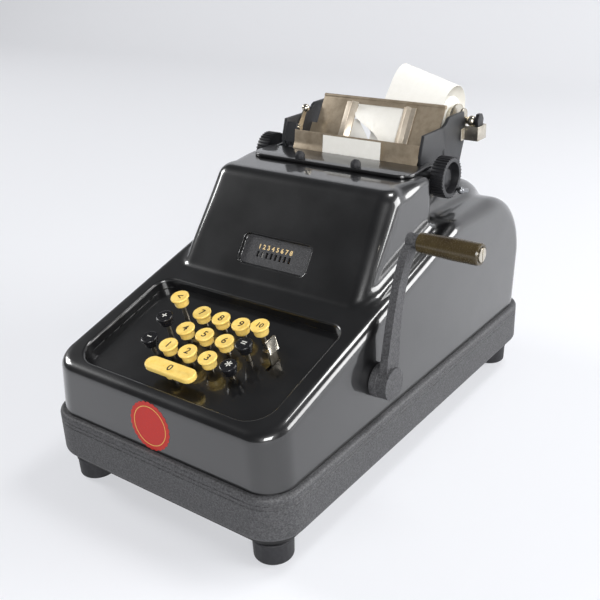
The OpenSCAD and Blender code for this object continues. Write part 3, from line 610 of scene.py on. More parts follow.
def case_hood(p):
    side = side_pair(p, HOOD_FOOT_HALF, HOOD_LEAN, HOOD_FOOT_Z)
    front = plane(p, (0, HOOD_Y, HOOD_FOOT_Z), (0, -hood_sin, hood_cos))
    back = plane(p, (0, HOOD_BACK, 0), (0, 1, 0))
    top = plane(p, (0, 0, HOOD_Z), (0, 0, 1))
    forward = p[:, 1] < 22
    corner = np.where(forward, HOOD_CORNER + 3 * ease(p[:, 2], 150, 200), 4.0)
    walls = round_join(side, choose(forward, front, back), corner)
    edge = HOOD_BROW - 9.0 * ease(p[:, 1], 0, 45)
    return round_join(walls, top, edge)


def well_hole(p):
    side = side_pair(p, WELL_HALF)
    near = plane(p, deck_point(WELL_FRONT, 0), (0, -deck_cos, -deck_sin))
    far = plane(p, deck_point(WELL_BACK, 0), (0, deck_cos, deck_sin))
    in_front = up_deck(p) < 40
    corner = np.where(in_front, WELL_NEAR_CORNER, WELL_FAR_CORNER)
    wall = round_join(side, choose(in_front, near, far), corner)
    floor = plane(p, deck_point(0, WELL_FLOOR - 1.0), (0, deck_sin, -deck_cos))
    return round_join(wall, floor, 0.3)


def panel_hole(p):
    v = up_hood(p) - PANEL_MID
    up = np.array([0, hood_cos, hood_sin])
    tall = (np.abs(v) - PANEL_TALL, np.sign(v)[:, None] * up)
    wall = round_join(side_pair(p, PANEL_HALF), tall, PANEL_CORNER)
    floor = plane(p, hood_point(0, -PANEL_SINK), (0, hood_sin, -hood_cos))
    return round_join(wall, floor, 0.2)


def top_slot(p, half, front, back, floor_z):
    """A flat-bottomed slot across the top of the case."""
    side = side_pair(p, half)
    near = plane(p, (0, front, 0), (0, -1, 0))
    far = plane(p, (0, back, 0), (0, 1, 0))
    floor = plane(p, (0, 0, floor_z), (0, 0, -1))
    ends = choose(p[:, 1] < (front + back) / 2, near, far)
    return round_join(round_join(side, ends, 1.0), floor, 0.5)


def bay_hole(p):
    """The platen's bay, with the shallower slot in front of it."""
    bay = top_slot(p, BAY_HALF, BAY_FRONT, BAY_BACK, BAY_FLOOR)
    return fillet_join(bay, top_slot(p, SLOT_HALF, SLOT_FRONT, SLOT_BACK, SLOT_FLOOR), 0.3)


def case_surface(p):
    """Distance from the finished outer surface of the case, and the way out of it."""
    shape = fillet_join(case_body(p), case_saddle(p), SADDLE_FILLET)
    shape = fillet_join(shape, case_hood(p), HOOD_FILLET)
    shape = round_join(shape, flip(well_hole(p)), WELL_LIP)
    shape = round_join(shape, flip(panel_hole(p)), PANEL_LIP)
    return round_join(shape, flip(bay_hole(p)), BAY_LIP)


def read_rows(items, what):
    """Reads three numbers of each vertex or face of a mesh, one row each."""
    flat = np.empty(len(items) * 3)
    items.foreach_get(what, flat)
    return flat.reshape(-1, 3)


def true_up(obj, rounds, limit):
    """Moves each vertex on to the finished surface, a little at a time."""
    mesh = obj.data
    p = read_rows(mesh.vertices, "co") / MM
    for _ in range(rounds):
        d, g = case_surface(p)
        p = p - np.clip(d, -limit, limit)[:, None] * g
    mesh.vertices.foreach_set("co", (p * MM).ravel())
    mesh.update()


def relax(obj, repeat, factor=0.5):
    use_modifier(obj, "SMOOTH", factor=factor, iterations=repeat)


def split_near(obj, test):
    """Halves the faces whose middles pass a test."""
    mark_faces(obj, test(read_rows(obj.data.polygons, "center") / MM))
    bpy.ops.mesh.subdivide(number_cuts=1)
    leave_edit()


def drop_faces(obj, test):
    """Deletes the faces whose middles and normals pass a test."""
    faces = obj.data.polygons
    mark_faces(obj, test(read_rows(faces, "center") / MM, read_rows(faces, "normal")))
    bpy.ops.mesh.delete(type="FACE")
    leave_edit()


def recess_floor(p, n):
    """Tells the faces where a recess is open for the key plate, panel or platen."""
    well = (well_hole(p)[0] < 1.5) & (off_deck(p) < WELL_FLOOR - 0.2)
    panel = (panel_hole(p)[0] < 0.6) & (off_hood(p) < -PANEL_SINK + 0.25)
    bay = (bay_hole(p)[0] < 1.5) & (p[:, 2] < BAY_FLOOR + 1.2) & (n[:, 2] > 0.5)
    slot = (np.abs(p[:, 0]) < SLOT_HALF - 1) & (p[:, 1] > SLOT_FRONT - 2)
    slot_wall = slot & (p[:, 1] < SLOT_FRONT + 1.5) & (p[:, 2] > SLOT_FLOOR) & (n[:, 1] > 0.5)
    at_floor = (p[:, 2] > SLOT_FLOOR - 2) & (p[:, 2] < SLOT_FLOOR + 1.5) & (n[:, 2] > 0.5)
    return well | panel | bay | slot_wall | slot & (p[:, 1] < BAY_FRONT - 1) & at_floor


def flatten_back(obj, y, z, radius):
    """Takes a block's upper rear edge off in three flats, 1 mm outside its finished round."""
    for turn in (18, 45, 72):
        out = Vector((0, math.sin(math.radians(turn)), math.cos(math.radians(turn))))
        cut_away(obj, Vector((0, y - radius, z - radius)) + (radius + 1) * out, out)


def start_case():
    """Joins and cuts plain blocks until they are near the case's finished form."""
    case = box("case_enamel", (-CASE_HALF, -CASE_FRONT, BASE_TOP - 6), (CASE_HALF, CASE_FRONT, REAR_Z))
    cut_away(case, deck_point(0, 0), (0, -deck_sin, deck_cos))
    round_uprights(case, CASE_CORNER, 8)
    flatten_back(case, CASE_FRONT, REAR_Z, REAR_ROUND)
    saddle = box("saddle_start", (-SADDLE_HALF, SADDLE_FRONT, 110), (SADDLE_HALF, SADDLE_BACK - 1, SADDLE_Z))
    flatten_back(saddle, SADDLE_BACK, SADDLE_Z, SADDLE_ROUND)
    combine(case, saddle, "UNION")
    hood = box("hood_start", (-96, -90, 100), (96, HOOD_BACK, HOOD_Z))
    cut_away(hood, hood_point(0, 0), (0, -hood_sin, hood_cos))
    for way in (-1, 1):
        cut_away(hood, (way * HOOD_FOOT_HALF, 0, HOOD_FOOT_Z), (way, 0, HOOD_LEAN))
    combine(case, hood, "UNION")
    well = box("well_start", (-WELL_HALF, WELL_FRONT, WELL_FLOOR - 1), (WELL_HALF, WELL_BACK, 30))
    round_uprights(well, 16, 6)
    combine(case, put(well, deck_frame), "DIFFERENCE")
    panel = box(
        "panel_start",
        (-PANEL_HALF, PANEL_MID - PANEL_TALL, -PANEL_SINK),
        (PANEL_HALF, PANEL_MID + PANEL_TALL, 20),
    )
    combine(case, put(panel, hood_frame), "DIFFERENCE")
    bay = box("bay_start", (-BAY_HALF, BAY_FRONT, BAY_FLOOR), (BAY_HALF, BAY_BACK, 230))
    combine(case, bay, "DIFFERENCE")
    slot = box("slot_start", (-SLOT_HALF, SLOT_FRONT, SLOT_FLOOR), (SLOT_HALF, SLOT_BACK, 230))
    combine(case, slot, "DIFFERENCE")
    return case


def make_case():
    """Remeshes the start, trues it to the surface, and opens it below and at its recesses."""
    case = start_case()
    use_modifier(case, "REMESH", mode="VOXEL", voxel_size=CASE_VOXEL * MM)
    cut_away(case, (0, 0, BASE_TOP - 4), (0, 0, -1), closed=False)
    true_up(case, 4, 1.5)
    for _ in range(3):
        relax(case, 2)
        true_up(case, 6, 2.0)
    drop_faces(case, recess_floor)
    for reach in (4.5, 3.0):
        split_near(
            case,
            lambda p: (np.abs(well_hole(p)[0]) < reach) & (p[:, 1] < -55)
            | (np.abs(panel_hole(p)[0]) < reach * 0.6) & (p[:, 1] < 0),
        )
        true_up(case, 4, 1.0)
        relax(case, 1, 0.4)
        true_up(case, 6, 1.0)
    cut_away(case, (0, 0, BASE_TOP + 0.05), (0, 0, -1), closed=False)
    use_modifier(case, "TRIANGULATE")
    pick(case)
    bpy.ops.object.shade_smooth()
    dress(case, enamel, "body", "gloss_enamel", "case_shell")


make_case()


# Small builders for turned, drawn and bent pieces


MERGE_GAP = 0.0005
FLAT_ANGLE = 4.0
STROKE_GAIN = 0.12


def clean_up(obj):
    """Merges doubles and turns every face outwards."""
    edit(obj)
    bpy.ops.mesh.remove_doubles(threshold=MERGE_GAP * MM)
    bpy.ops.mesh.normals_make_consistent(inside=False)
    leave_edit()


def turned(name, rings, sides=40, hollow=False):
    """Draws a round piece up its Z axis through rings of radius and height in millimetres."""
    radius, height = rings[0]
    fill = "NOTHING" if hollow else "TRIFAN"
    bpy.ops.mesh.primitive_circle_add(
        vertices=sides, radius=radius * MM, fill_type=fill, location=(0, 0, height * MM)
    )
    obj = named(name)
    settle(obj)
    edit(obj)
    for next_radius, next_height in rings[1:]:
        rise = (0, 0, (next_height - height) * MM)
        bpy.ops.mesh.extrude_region_move(TRANSFORM_OT_translate={"value": rise})
        grow = next_radius / radius
        bpy.ops.transform.resize(value=(grow, grow, 1), center_override=(0, 0, next_height * MM))
        radius, height = next_radius, next_height
    leave_edit()
    clean_up(obj)
    return obj


def twin(obj, name, matrix=None):
    """Copies a piece with a mesh of its own."""
    made = obj.copy()
    made.data = obj.data.copy()
    made.name = name
    made.data.name = name
    bpy.context.scene.collection.objects.link(made)
    return put(made, matrix) if matrix else made


def shift(x, y, z):
    return Matrix.Translation(Vector((x, y, z)) * MM)


def strip(name, x0, x1, path):
    """Draws a sheet along a path of y and z, from one side to the other."""
    (ya, za), (yb, zb) = path[:2]
    length = math.hypot(yb - ya, zb - za)
    bpy.ops.mesh.primitive_plane_add(
        size=1,
        location=Vector(((x0 + x1) / 2, (ya + yb) / 2, (za + zb) / 2)) * MM,
        rotation=(math.atan2(zb - za, yb - ya), 0, 0),
    )
    obj = named(name)
    obj.scale = ((x1 - x0) * MM, length * MM, 1)
    settle(obj)
    clear_marks(obj, "EDGE")
    end = Vector((0, yb, zb)) * MM
    for edge in obj.data.edges:
        ends = [obj.data.vertices[i].co for i in edge.vertices]
        edge.select = all((Vector((0, v.y, v.z)) - end).length < 1e-6 for v in ends)
    edit_marked()
    for (ya, za), (yb, zb) in zip(path[1:], path[2:]):
        move = (0, (yb - ya) * MM, (zb - za) * MM)
        bpy.ops.mesh.extrude_region_move(TRANSFORM_OT_translate={"value": move})
    leave_edit()
    return obj


def through(marks, steps):
    """Adds points between marks so that the line through them bends smoothly."""
    marks = np.array(marks, float)
    ends = np.vstack([2 * marks[0] - marks[1], marks, 2 * marks[-1] - marks[-2]])
    points = []
    for a, b, c, d in zip(ends, ends[1:], ends[2:], ends[3:]):
        for i in range(steps):
            t = i / steps
            bend = 2 * a - 5 * b + 4 * c - d + t * (3 * b - a - 3 * c + d)
            points.append(b + 0.5 * t * (c - a + t * bend))
    points.append(marks[-1])
    return [tuple(float(v) for v in point) for point in points]


def thicken(obj, depth):
    """Gives a sheet its thickness, half to each side."""
    use_modifier(obj, "SOLIDIFY", thickness=depth * MM, offset=0.0)


def soften(obj, width, angle=32, segments=3):
    """Rounds the sharp edges of a finished form."""
    limit = math.radians(angle)
    use_modifier(obj, "BEVEL", width=width * MM, segments=segments, limit_method="ANGLE", angle_limit=limit)
    smooth(obj, 40)


def from_frame(name, node, width):
    """Copies the form of a CAD node and rounds its worked edges."""
    source = nodes[node]
    made = source.copy()
    made.data = source.data.copy()
    made.name = name
    made.data.name = name
    made.parent = None
    made.matrix_world = source.matrix_world
    for key in list(made.keys()):
        del made[key]
    bpy.context.scene.collection.objects.link(made)
    clean_up(made)
    edit(made)
    bpy.ops.mesh.dissolve_limited(angle_limit=math.radians(FLAT_ANGLE))
    leave_edit()
    soften(made, width)
    return made


def sign(name, text, size, matrix, depth=0.25):
    """Makes a plain printed figure as a thin inlay."""
    bpy.ops.object.text_add()
    made = bpy.context.active_object
    made.data.body = text
    made.data.size = size * MM
    made.data.align_x = "CENTER"
    made.data.align_y = "CENTER"
    made.data.extrude = depth * MM / 2
    made.data.resolution_u = 5
    made.data.offset = STROKE_GAIN * MM
    bpy.ops.object.convert(target="MESH")
    made = named(name)
    clean_up(made)
    return put(made, matrix)


# Keys: moulded caps on flat steel stems


LIP_Z = CAP_TALL - 1.9
NECK = 5.5
BLACK_R = CAP_R - 0.6
DISH = 0.6
FIGURE_SINK = 0.06

cap_pattern = turned(
    "cap_pattern",
    [
        (NECK - 0.6, 0), (NECK - 0.15, 0.15), (NECK, 0.5), (NECK + 0.12, 3.0), (NECK + 0.3, LIP_Z - 1.3),
        (NECK + 0.7, LIP_Z - 0.6), (CAP_R - 0.45, LIP_Z - 0.1), (CAP_R - 0.1, LIP_Z + 0.25),
        (CAP_R, LIP_Z + 0.7), (CAP_R - 0.02, CAP_TALL - 0.7), (CAP_R - 0.25, CAP_TALL - 0.22),
        (CAP_R - 0.65, CAP_TALL - 0.02), (CAP_R - 1.2, CAP_TALL - 0.06), (CAP_R - 2.4, CAP_TALL - 0.34),
        (3.4, CAP_TALL - 0.54), (1.6, CAP_TALL - DISH),
    ],
)
black_pattern = turned(
    "black_pattern",
    [
        (BLACK_R - 2.6, 0), (BLACK_R - 2.0, 0.15), (BLACK_R - 1.7, 0.6), (BLACK_R - 1.2, CAP_TALL * 0.42),
        (BLACK_R - 0.4, CAP_TALL - 2.2), (BLACK_R - 0.08, CAP_TALL - 1.4), (BLACK_R, CAP_TALL - 0.9),
        (BLACK_R - 0.15, CAP_TALL - 0.45), (BLACK_R - 0.5, CAP_TALL - 0.15), (BLACK_R - 1.1, CAP_TALL),
        (BLACK_R - 3.0, CAP_TALL), (1.5, CAP_TALL),
    ],
)
stem_pattern = box("stem_pattern", (-2.1, -0.8, -26), (2.1, 0.8, 0.6))
lug = box("stem_lug", (-3.1, -1.4, -26), (3.1, 1.4, -24))
combine(stem_pattern, lug, "UNION")
soften(stem_pattern, 0.25)

key_list = [
    ("key_1", -1, 0, 5.0, "1"), ("key_2", 0, 0, 5.0, "2"), ("key_3", 1, 0, 5.0, "3"),
    ("key_4", -1, 1, 5.0, "4"), ("key_5", 0, 1, 5.0, "5"), ("key_6", 1, 1, 5.0, "6"),
    ("key_7", -1, 2, 5.0, "7"), ("key_8", 0, 2, 5.0, "8"), ("key_9", 1, 2, 5.0, "9"),
    ("key_ten", 2, 2, 9.8, "10"), ("key_back", -2, 2, 15.0, "<"),
    ("key_black_a", -2, 1, 11.0, "+"), ("key_black_b", -2, 0, 6.0, "−"),
    ("key_black_c", 2, 1, 8.4, "="), ("key_black_d", 2, 0, 4.6, "*"),
]


def deck_place(x, s, n):
    return deck_frame @ shift(x, s, n)


def add_stem(node, x, s, top):
    """Stands a steel stem under a key, stretched so that it ends in the cap."""
    stem = twin(stem_pattern, node + "_stem")
    for vertex in stem.data.vertices:
        if vertex.co.z > -10 * MM:
            vertex.co.z += (top - CAP_TALL) * MM
    put(stem, deck_place(x, s, 0))
    smooth(stem, 40)
    dress(stem, stem_steel, node, "nickel", node)


for node, column, row, top, figure in key_list:
    black = "black" in node
    x = KEY_X + column * KEY_PITCH_X
    s = KEY_S + row * KEY_PITCH_S
    cap = twin(black_pattern if black else cap_pattern, node + "_cap", deck_place(x, s, top - CAP_TALL))
    smooth(cap, 50)
    dress(cap, jet if black else ivory, node, "black_cap" if black else "ivory_cap", node)
    add_stem(node, x, s, top)
    height = top - (0.0 if black else DISH)
    size = {"10": 6.4, "*": 12.0}.get(figure, 8.4)
    drop = 1.6 if figure == "*" else 0.0
    mark = sign(node + "_figure", figure, size, deck_place(x, s - drop, height - FIGURE_SINK))
    dress(mark, white_fill if black else ink, node, "flag_white" if black else "ivory_cap")
for pattern in (cap_pattern, black_pattern):
    bpy.data.objects.remove(pattern)

BAR_HALF = 23.0
BAR_WIDE = 6.0
BAR_TOP = 5.2
BAR_TALL = 4.6
bar = box("key_0_bar", (-BAR_HALF, -BAR_WIDE, BAR_TOP - BAR_TALL), (BAR_HALF, BAR_WIDE, BAR_TOP))
round_uprights(bar, BAR_WIDE - 0.1, 10)
mark_faces(bar, [face.normal.z > 0.9 for face in bar.data.polygons])
bpy.ops.mesh.inset(thickness=1.5 * MM, depth=0)
bpy.ops.mesh.inset(thickness=2.0 * MM, depth=-0.4 * MM)
leave_edit()
soften(bar, 1.0, 50, 5)
put(bar, deck_place(KEY_X, ZERO_S, 0))
dress(bar, ivory, "key_0", "ivory_cap", "key_0")
boss_low = BAR_TOP - CAP_TALL
boss = turned(
    "key_0_boss",
    [(3.6, boss_low), (4.3, boss_low + 0.2), (4.6, boss_low + 0.7), (4.6, BAR_TOP - BAR_TALL + 0.2)],
)
smooth(boss, 50)
put(boss, deck_place(KEY_X, ZERO_S, 0))
dress(boss, ivory, "key_0", "ivory_cap", "key_0")
add_stem("key_0", KEY_X, ZERO_S, BAR_TOP)
bpy.data.objects.remove(stem_pattern)
mark = sign("key_0_figure", "0", 8.4, deck_place(KEY_X, ZERO_S, BAR_TOP - 0.44))
dress(mark, ink, "key_0", "ivory_cap")


# Repeat lever: a folded steel tab on a strip that slides in the key plate


LEVER_X = 54.7
LEVER_S = 50.0
tab = box("repeat_tab", (-1, -1, -1), (1, 1, 1))
corners = {
    (-1, -1, -1): (48.6, 47.0, 2.2), (1, -1, -1): (57.4, 45.4, 2.4), (1, 1, -1): (59.3, 53.6, 3.2),
    (-1, 1, -1): (50.6, 55.0, 3.4), (-1, -1, 1): (50.4, 50.2, 8.4), (1, -1, 1): (51.6, 49.6, 8.6),
    (1, 1, 1): (55.0, 57.2, 11.0), (-1, 1, 1): (53.8, 57.5, 11.0),
}
for vertex in tab.data.vertices:
    key = tuple(round(c / MM) for c in vertex.co)
    vertex.co = Vector(corners[key]) * MM
soften(tab, 0.45, 20)
put(tab, deck_frame)
dress(tab, nickel, "repeat_lever", "nickel", "repeat_lever")
strap = box("repeat_strap", (LEVER_X - 0.8, LEVER_S - 4, -20), (LEVER_X + 0.8, LEVER_S + 4, 3.5))
soften(strap, 0.3)
put(strap, deck_frame)
dress(strap, stem_steel, "repeat_lever", "nickel", "repeat_lever")


# Crank arm: a cast arm that bows to the rear, with a hub that is drilled from the inside only


ARM_X0 = 113.9
ARM_X1 = 119.9
ARM_MID = (ARM_X0 + ARM_X1) / 2
ARM_THICK = ARM_X1 - ARM_X0
HUB_R = 12.2
HUB_FACE = 122.0
HUB_SKIN = 0.7
SHAFT_HOLE_R = 5.08
GRIP_HOLE_R = 3.05
DRILL = 30.0
GRIP = (-32.17, 190.46)
arm_marks = [
    (-64.0, 92.5, 18.0), (-63.2, 101.0, 17.4), (-61.9, 111.0, 16.0), (-60.2, 122.0, 14.2),
    (-58.0, 134.0, 12.6), (-55.2, 146.0, 11.6), (-51.4, 158.5, 11.2), (-46.8, 169.5, 11.6),
    (-41.2, 179.5, 12.8), (-36.6, 185.6, 14.0), (-33.2, 189.4, 12.0),
]
arm_line = through(arm_marks, 3)
y, z, wide = arm_line[0]
bpy.ops.mesh.primitive_plane_add(size=1, location=Vector((ARM_MID, y, z)) * MM)
arm = named("crank_arm_cast")
arm.scale = (ARM_THICK * MM, wide * MM, 1)
settle(arm)
edit(arm, "FACE")
for next_y, next_z, next_wide in arm_line[1:]:
    move = (0, (next_y - y) * MM, (next_z - z) * MM)
    bpy.ops.mesh.extrude_region_move(TRANSFORM_OT_translate={"value": move})
    middle = Vector((ARM_MID, next_y, next_z)) * MM
    bpy.ops.transform.resize(value=(1, next_wide / wide, 1), center_override=middle)
    y, z, wide = next_y, next_z, next_wide
leave_edit()
clean_up(arm)
tip = disc("arm_tip", (ARM_MID, *GRIP), 5.6, ARM_THICK, 40)
combine(arm, tip, "UNION")
hub = disc("arm_hub", ((ARM_X0 + HUB_FACE) / 2, *CRANK), HUB_R, HUB_FACE - ARM_X0, 64)
combine(arm, hub, "UNION")
collar = disc("arm_collar", (ARM_X1 + 0.5, *GRIP), 5.4, 3.4, 40)
combine(arm, collar, "UNION")
bore = disc("arm_bore", (HUB_FACE - HUB_SKIN - DRILL / 2, *CRANK), SHAFT_HOLE_R, DRILL, 48)
combine(arm, bore, "DIFFERENCE")
bore = disc("arm_eye", (ARM_X1, *GRIP), GRIP_HOLE_R, DRILL, 40)
combine(arm, bore, "DIFFERENCE")
soften(arm, 0.9, 40, 4)
dress(arm, wrinkle, "crank", "wrinkle_black", "crank_arm")


# Trim on the case: a plain red scalloped seal, and the figures over the column windows


SEAL_R = 19.0
SEAL_X = -1.5
SEAL_Z = 80.6
LOBES = 26
LOBE_DEPTH = 0.045
FOIL = 0.16
bpy.ops.mesh.primitive_cylinder_add(
    vertices=LOBES * 6, radius=SEAL_R * MM, depth=FOIL * MM, end_fill_type="NGON"
)
seal = named("front_seal")
settle(seal)
for vertex in seal.data.vertices:
    turn = math.atan2(vertex.co.y, vertex.co.x)
    grow = 1 + LOBE_DEPTH * abs(math.sin(turn * LOBES / 2)) - LOBE_DEPTH
    vertex.co.x *= grow
    vertex.co.y *= grow
wall_y = -CASE_FRONT + FRONT_LEAN * (SEAL_Z - BASE_TOP)
on_wall = Matrix.Rotation(math.pi / 2 - math.atan(FRONT_LEAN), 4, "X")
put(seal, shift(SEAL_X, wall_y - 0.06, SEAL_Z) @ on_wall)
dress(seal, seal_red, "body", "panel_grey")
ring = turned("seal_ring", [(15.4, 0), (15.4, 0.12), (14.8, 0.12), (14.8, 0)], 96, True)
put(ring, shift(SEAL_X, wall_y - 0.12, SEAL_Z) @ on_wall)
dress(ring, gold, "body", "panel_grey")

COLUMN_X = -17.4
COLUMN_PITCH = 4.4
FIGURE_V = 25.2
for i in range(8):
    place = hood_frame @ shift(COLUMN_X + i * COLUMN_PITCH, FIGURE_V, -PANEL_SINK + 0.02)
    mark = sign("panel_figure_%d" % (i + 1), str(i + 1), 5.2, place, 0.14)
    dress(mark, figure_cream, "body", "panel_grey")


# Paper roll: wound turns whose edges stand a little unevenly at both ends


ROLL_X = -4.0
ROLL_WIDE = 57.0
ROLL_R = 19.0
CORE_R = 9.5
LAYERS = 14
layer_edges = []
for i in range(LAYERS + 1):
    radius = CORE_R + (ROLL_R - CORE_R) * i / LAYERS
    layer_edges.append((radius, 0.16 * (i % 2) + 0.22 * math.sin(i * 1.7)))
rings = [(r, -0.25 + h) for r, h in layer_edges]
rings += [(ROLL_R, 4.0), (ROLL_R, ROLL_WIDE - 4.0)]
rings += [(r, ROLL_WIDE + 0.25 - h) for r, h in reversed(layer_edges)]
rings += [(CORE_R, 2.0)]
roll = turned("paper_roll_wound", rings, 72, True)
smooth(roll, 30)
put(roll, shift(ROLL_X, *SPINDLE) @ Matrix.Rotation(math.pi / 2, 4, "Y"))
dress(roll, paper, "paper_roll", "paper", "paper_roll")


# Hood top: an enamelled plate with forked ends, its rubber bumpers, and the tear bar behind it


PLATE_Z = HOOD_Z + 0.05
PLATE_T = 3.0
PLATE_HALF = 77.5
PLATE_FRONT = 28.0
PLATE_ENDS = 70.0
PLATE_BACK = 58.5
PLATE_TOP = PLATE_Z + PLATE_T
BUMPER_X = 27.5
BUMPER_Y = 33.1
plate_low = (-PLATE_HALF, PLATE_FRONT, PLATE_Z)
plate = box("hood_plate_pressed", plate_low, (PLATE_HALF, PLATE_ENDS, PLATE_TOP))
round_uprights(plate, 12, 10, high_y=PLATE_FRONT + 1)
round_uprights(plate, 4, 6, low_y=PLATE_ENDS - 1)
notch = box("plate_notch", (-BAY_HALF, PLATE_BACK, PLATE_Z - 5), (BAY_HALF, 90, PLATE_Z + 9))
combine(plate, notch, "DIFFERENCE")
soften(plate, 0.9, 40, 4)
dress(plate, enamel, "body", "gloss_enamel", "hood_plate")

bumper = turned(
    "hood_bumper_left",
    [
        (4.1, 0), (4.2, 0.4), (4.2, 2.0), (4.05, 3.0), (3.65, 4.0), (3.0, 4.9), (2.1, 5.6), (1.1, 6.0),
        (0.5, 6.1),
    ],
)
smooth(bumper, 60)
other = twin(bumper, "hood_bumper_right", shift(BUMPER_X, BUMPER_Y, PLATE_TOP))
put(bumper, shift(-BUMPER_X, BUMPER_Y, PLATE_TOP))
for piece in (bumper, other):
    dress(piece, foot_rubber, "body", "foot_rubber", "hood_bumpers")

TEAR_LEFT = -56.2
TEAR_RIGHT = 66.4
tear_line = [(61.3, 213.0), (64.4, 218.6), (65.2, 223.5), (66.1, 229.0)]
tear = strip("tear_bar_folded", TEAR_LEFT, TEAR_RIGHT, tear_line)
edit(tear)
bpy.ops.mesh.subdivide(number_cuts=3)
leave_edit()
thicken(tear, 0.9)
soften(tear, 0.2, 40, 2)
dress(tear, toned, "body", "bronze", "tear_bar")


# Softened edges on pressed and moulded pieces whose form the frame already has


for node, width, body, slot in (
    ("carriage_side_left", 0.6, "body", "carriage_black"),
    ("carriage_side_right", 0.6, "body", "carriage_black"),
    ("carriage_beam", 0.6, "body", "carriage_black"), ("paper_table", 0.25, "body", "bronze"),
    ("paper_guide_left", 0.2, "paper_guide_left", "nickel"),
    ("paper_guide_right", 0.2, "paper_guide_right", "nickel"),
    ("spindle_clip", 0.35, "body", "nickel"), ("clip_thumb", 0.5, "clip_thumb", "knob_black"),
    ("roll_arms", 0.35, "body", "nickel"), ("crank_bearing", 0.7, "body", "wrinkle_black"),
    ("feet", 0.8, "body", "foot_rubber"), ("bottom_pan", 0.3, "body", "pan_black"),
    ("knob_left", 0.22, "platen", "knob_black"), ("knob_right", 0.22, "platen", "knob_black"),
    ("release_lever", 0.3, "release_lever", "steel"), ("grip_screw", 0.25, "crank", "nickel"),
):
    made = from_frame(node + "_finished", node, width)
    dress(made, by_node[node], body, slot, node)


# Paper strip: a torn slip in front of the tear bar that runs down and round the platen, the loose
# outer turn of the roll, and the folded web between the guides with a layer under it


PAPER_X = -24.0
PAPER_WIDE = 57.0
WRAP = 12.45
slip = [(62.1, 228.6), (61.0, 219.0), (60.0, 212.0), (59.3, 207.0)]
slip += [
    (PLATEN[0] + WRAP * math.cos(math.radians(a)), PLATEN[1] + WRAP * math.sin(math.radians(a)))
    for a in range(180, 322, 10)
]
web = strip("paper_slip", PAPER_X, PAPER_X + PAPER_WIDE, slip)
thicken(web, 0.2)
smooth(web, 60)
dress(web, paper, "body", "paper", "paper_strip")


def ruled(name, left, right, steps_across=8):
    """Spans a sheet of paper between a left and a right rim, each a list of x, y and z points."""
    bpy.ops.mesh.primitive_grid_add(x_subdivisions=steps_across, y_subdivisions=len(left) - 1, size=1)
    obj = named(name)
    low = -0.5
    for vertex in obj.data.vertices:
        across = vertex.co.x - low
        along = round((vertex.co.y - low) * (len(left) - 1))
        vertex.co = Vector(left[along]).lerp(Vector(right[along]), across) * MM
    thicken(obj, 0.22)
    smooth(obj, 60)
    return obj


TURN_START = 176
TURN_SWEEP = 214
TURN_STEPS = 30


def rim(x, radius, rise, peak, width):
    """Points on a turn round the roll's spindle that stands off it most at one angle."""
    points = []
    for i in range(TURN_STEPS + 1):
        a = TURN_START - TURN_SWEEP * i / TURN_STEPS
        r = radius + rise * math.exp(-(((a - peak) / width) ** 2))
        a = math.radians(a)
        points.append((x, SPINDLE[0] + r * math.cos(a), SPINDLE[1] + r * math.sin(a)))
    return points


loose = ruled(
    "paper_loose_turn",
    rim(ROLL_X, ROLL_R + 0.7, 26.5, 53, 38),
    rim(ROLL_X + ROLL_WIDE, ROLL_R + 0.9, 11, 40, 52),
)
dress(loose, paper, "body", "paper", "paper_strip")

table_low = (98.0, 212.0)
table_way = (22.0 / 42.7, 36.6 / 42.7)
FEED_OUT = -0.9
FOLD_X = -4.0
FOLD_TURN = 140.0
FOLD_LOW = 4.0
FOLD_HIGH = 38.0
FOLD_FLAT = 0.55
LIFT = 40.0
bpy.ops.mesh.primitive_grid_add(x_subdivisions=26, y_subdivisions=26, size=1)
feed = named("paper_feed")
for vertex in feed.data.vertices:
    x = PAPER_X + PAPER_WIDE * (vertex.co.x + 0.5)
    v = LIFT * (vertex.co.y + 0.5)
    out = FEED_OUT
    if x < FOLD_X:
        reach = FOLD_X - x
        turn = math.radians(FOLD_TURN) * float(ease(LIFT - v, FOLD_LOW, FOLD_HIGH))
        x = FOLD_X - reach * math.cos(turn)
        out += reach * math.sin(turn) * FOLD_FLAT
    y = table_low[0] + v * table_way[0] - out * table_way[1]
    z = table_low[1] + v * table_way[1] + out * table_way[0]
    vertex.co = Vector((x, y, z)) * MM
thicken(feed, 0.2)
smooth(feed, 60)
dress(feed, paper, "body", "paper", "paper_strip")
under_left = []
under_right = []
for v in (0, 8, 16, 24):
    y = table_low[0] + v * table_way[0] + 0.4
    z = table_low[1] + v * table_way[1] - 0.3
    under_left.append((PAPER_X, y, z))
    under_right.append((FOLD_X + 6 - 0.9 * v, y, z))
under = ruled("paper_feed_under", under_left, under_right, 4)
dress(under, paper, "body", "paper", "paper_strip")


# Stage: pale floor, soft lamps and the camera where the photograph was taken


FLOOR_LIFT = 0.46
FLOOR_Z = -0.0004
WALL_BEND = 0.5
WALL_STEPS = 12
WORLD_LIGHT = 0.12
CAMERA_TURN = 37.41
CAMERA_TILT = 24.32
CAMERA_ROLL = -2.4
CAMERA_AIM = (69.35, -101.69, 160.76)
CAMERA_FAR = 598.37
CAMERA_LENS = 52.564


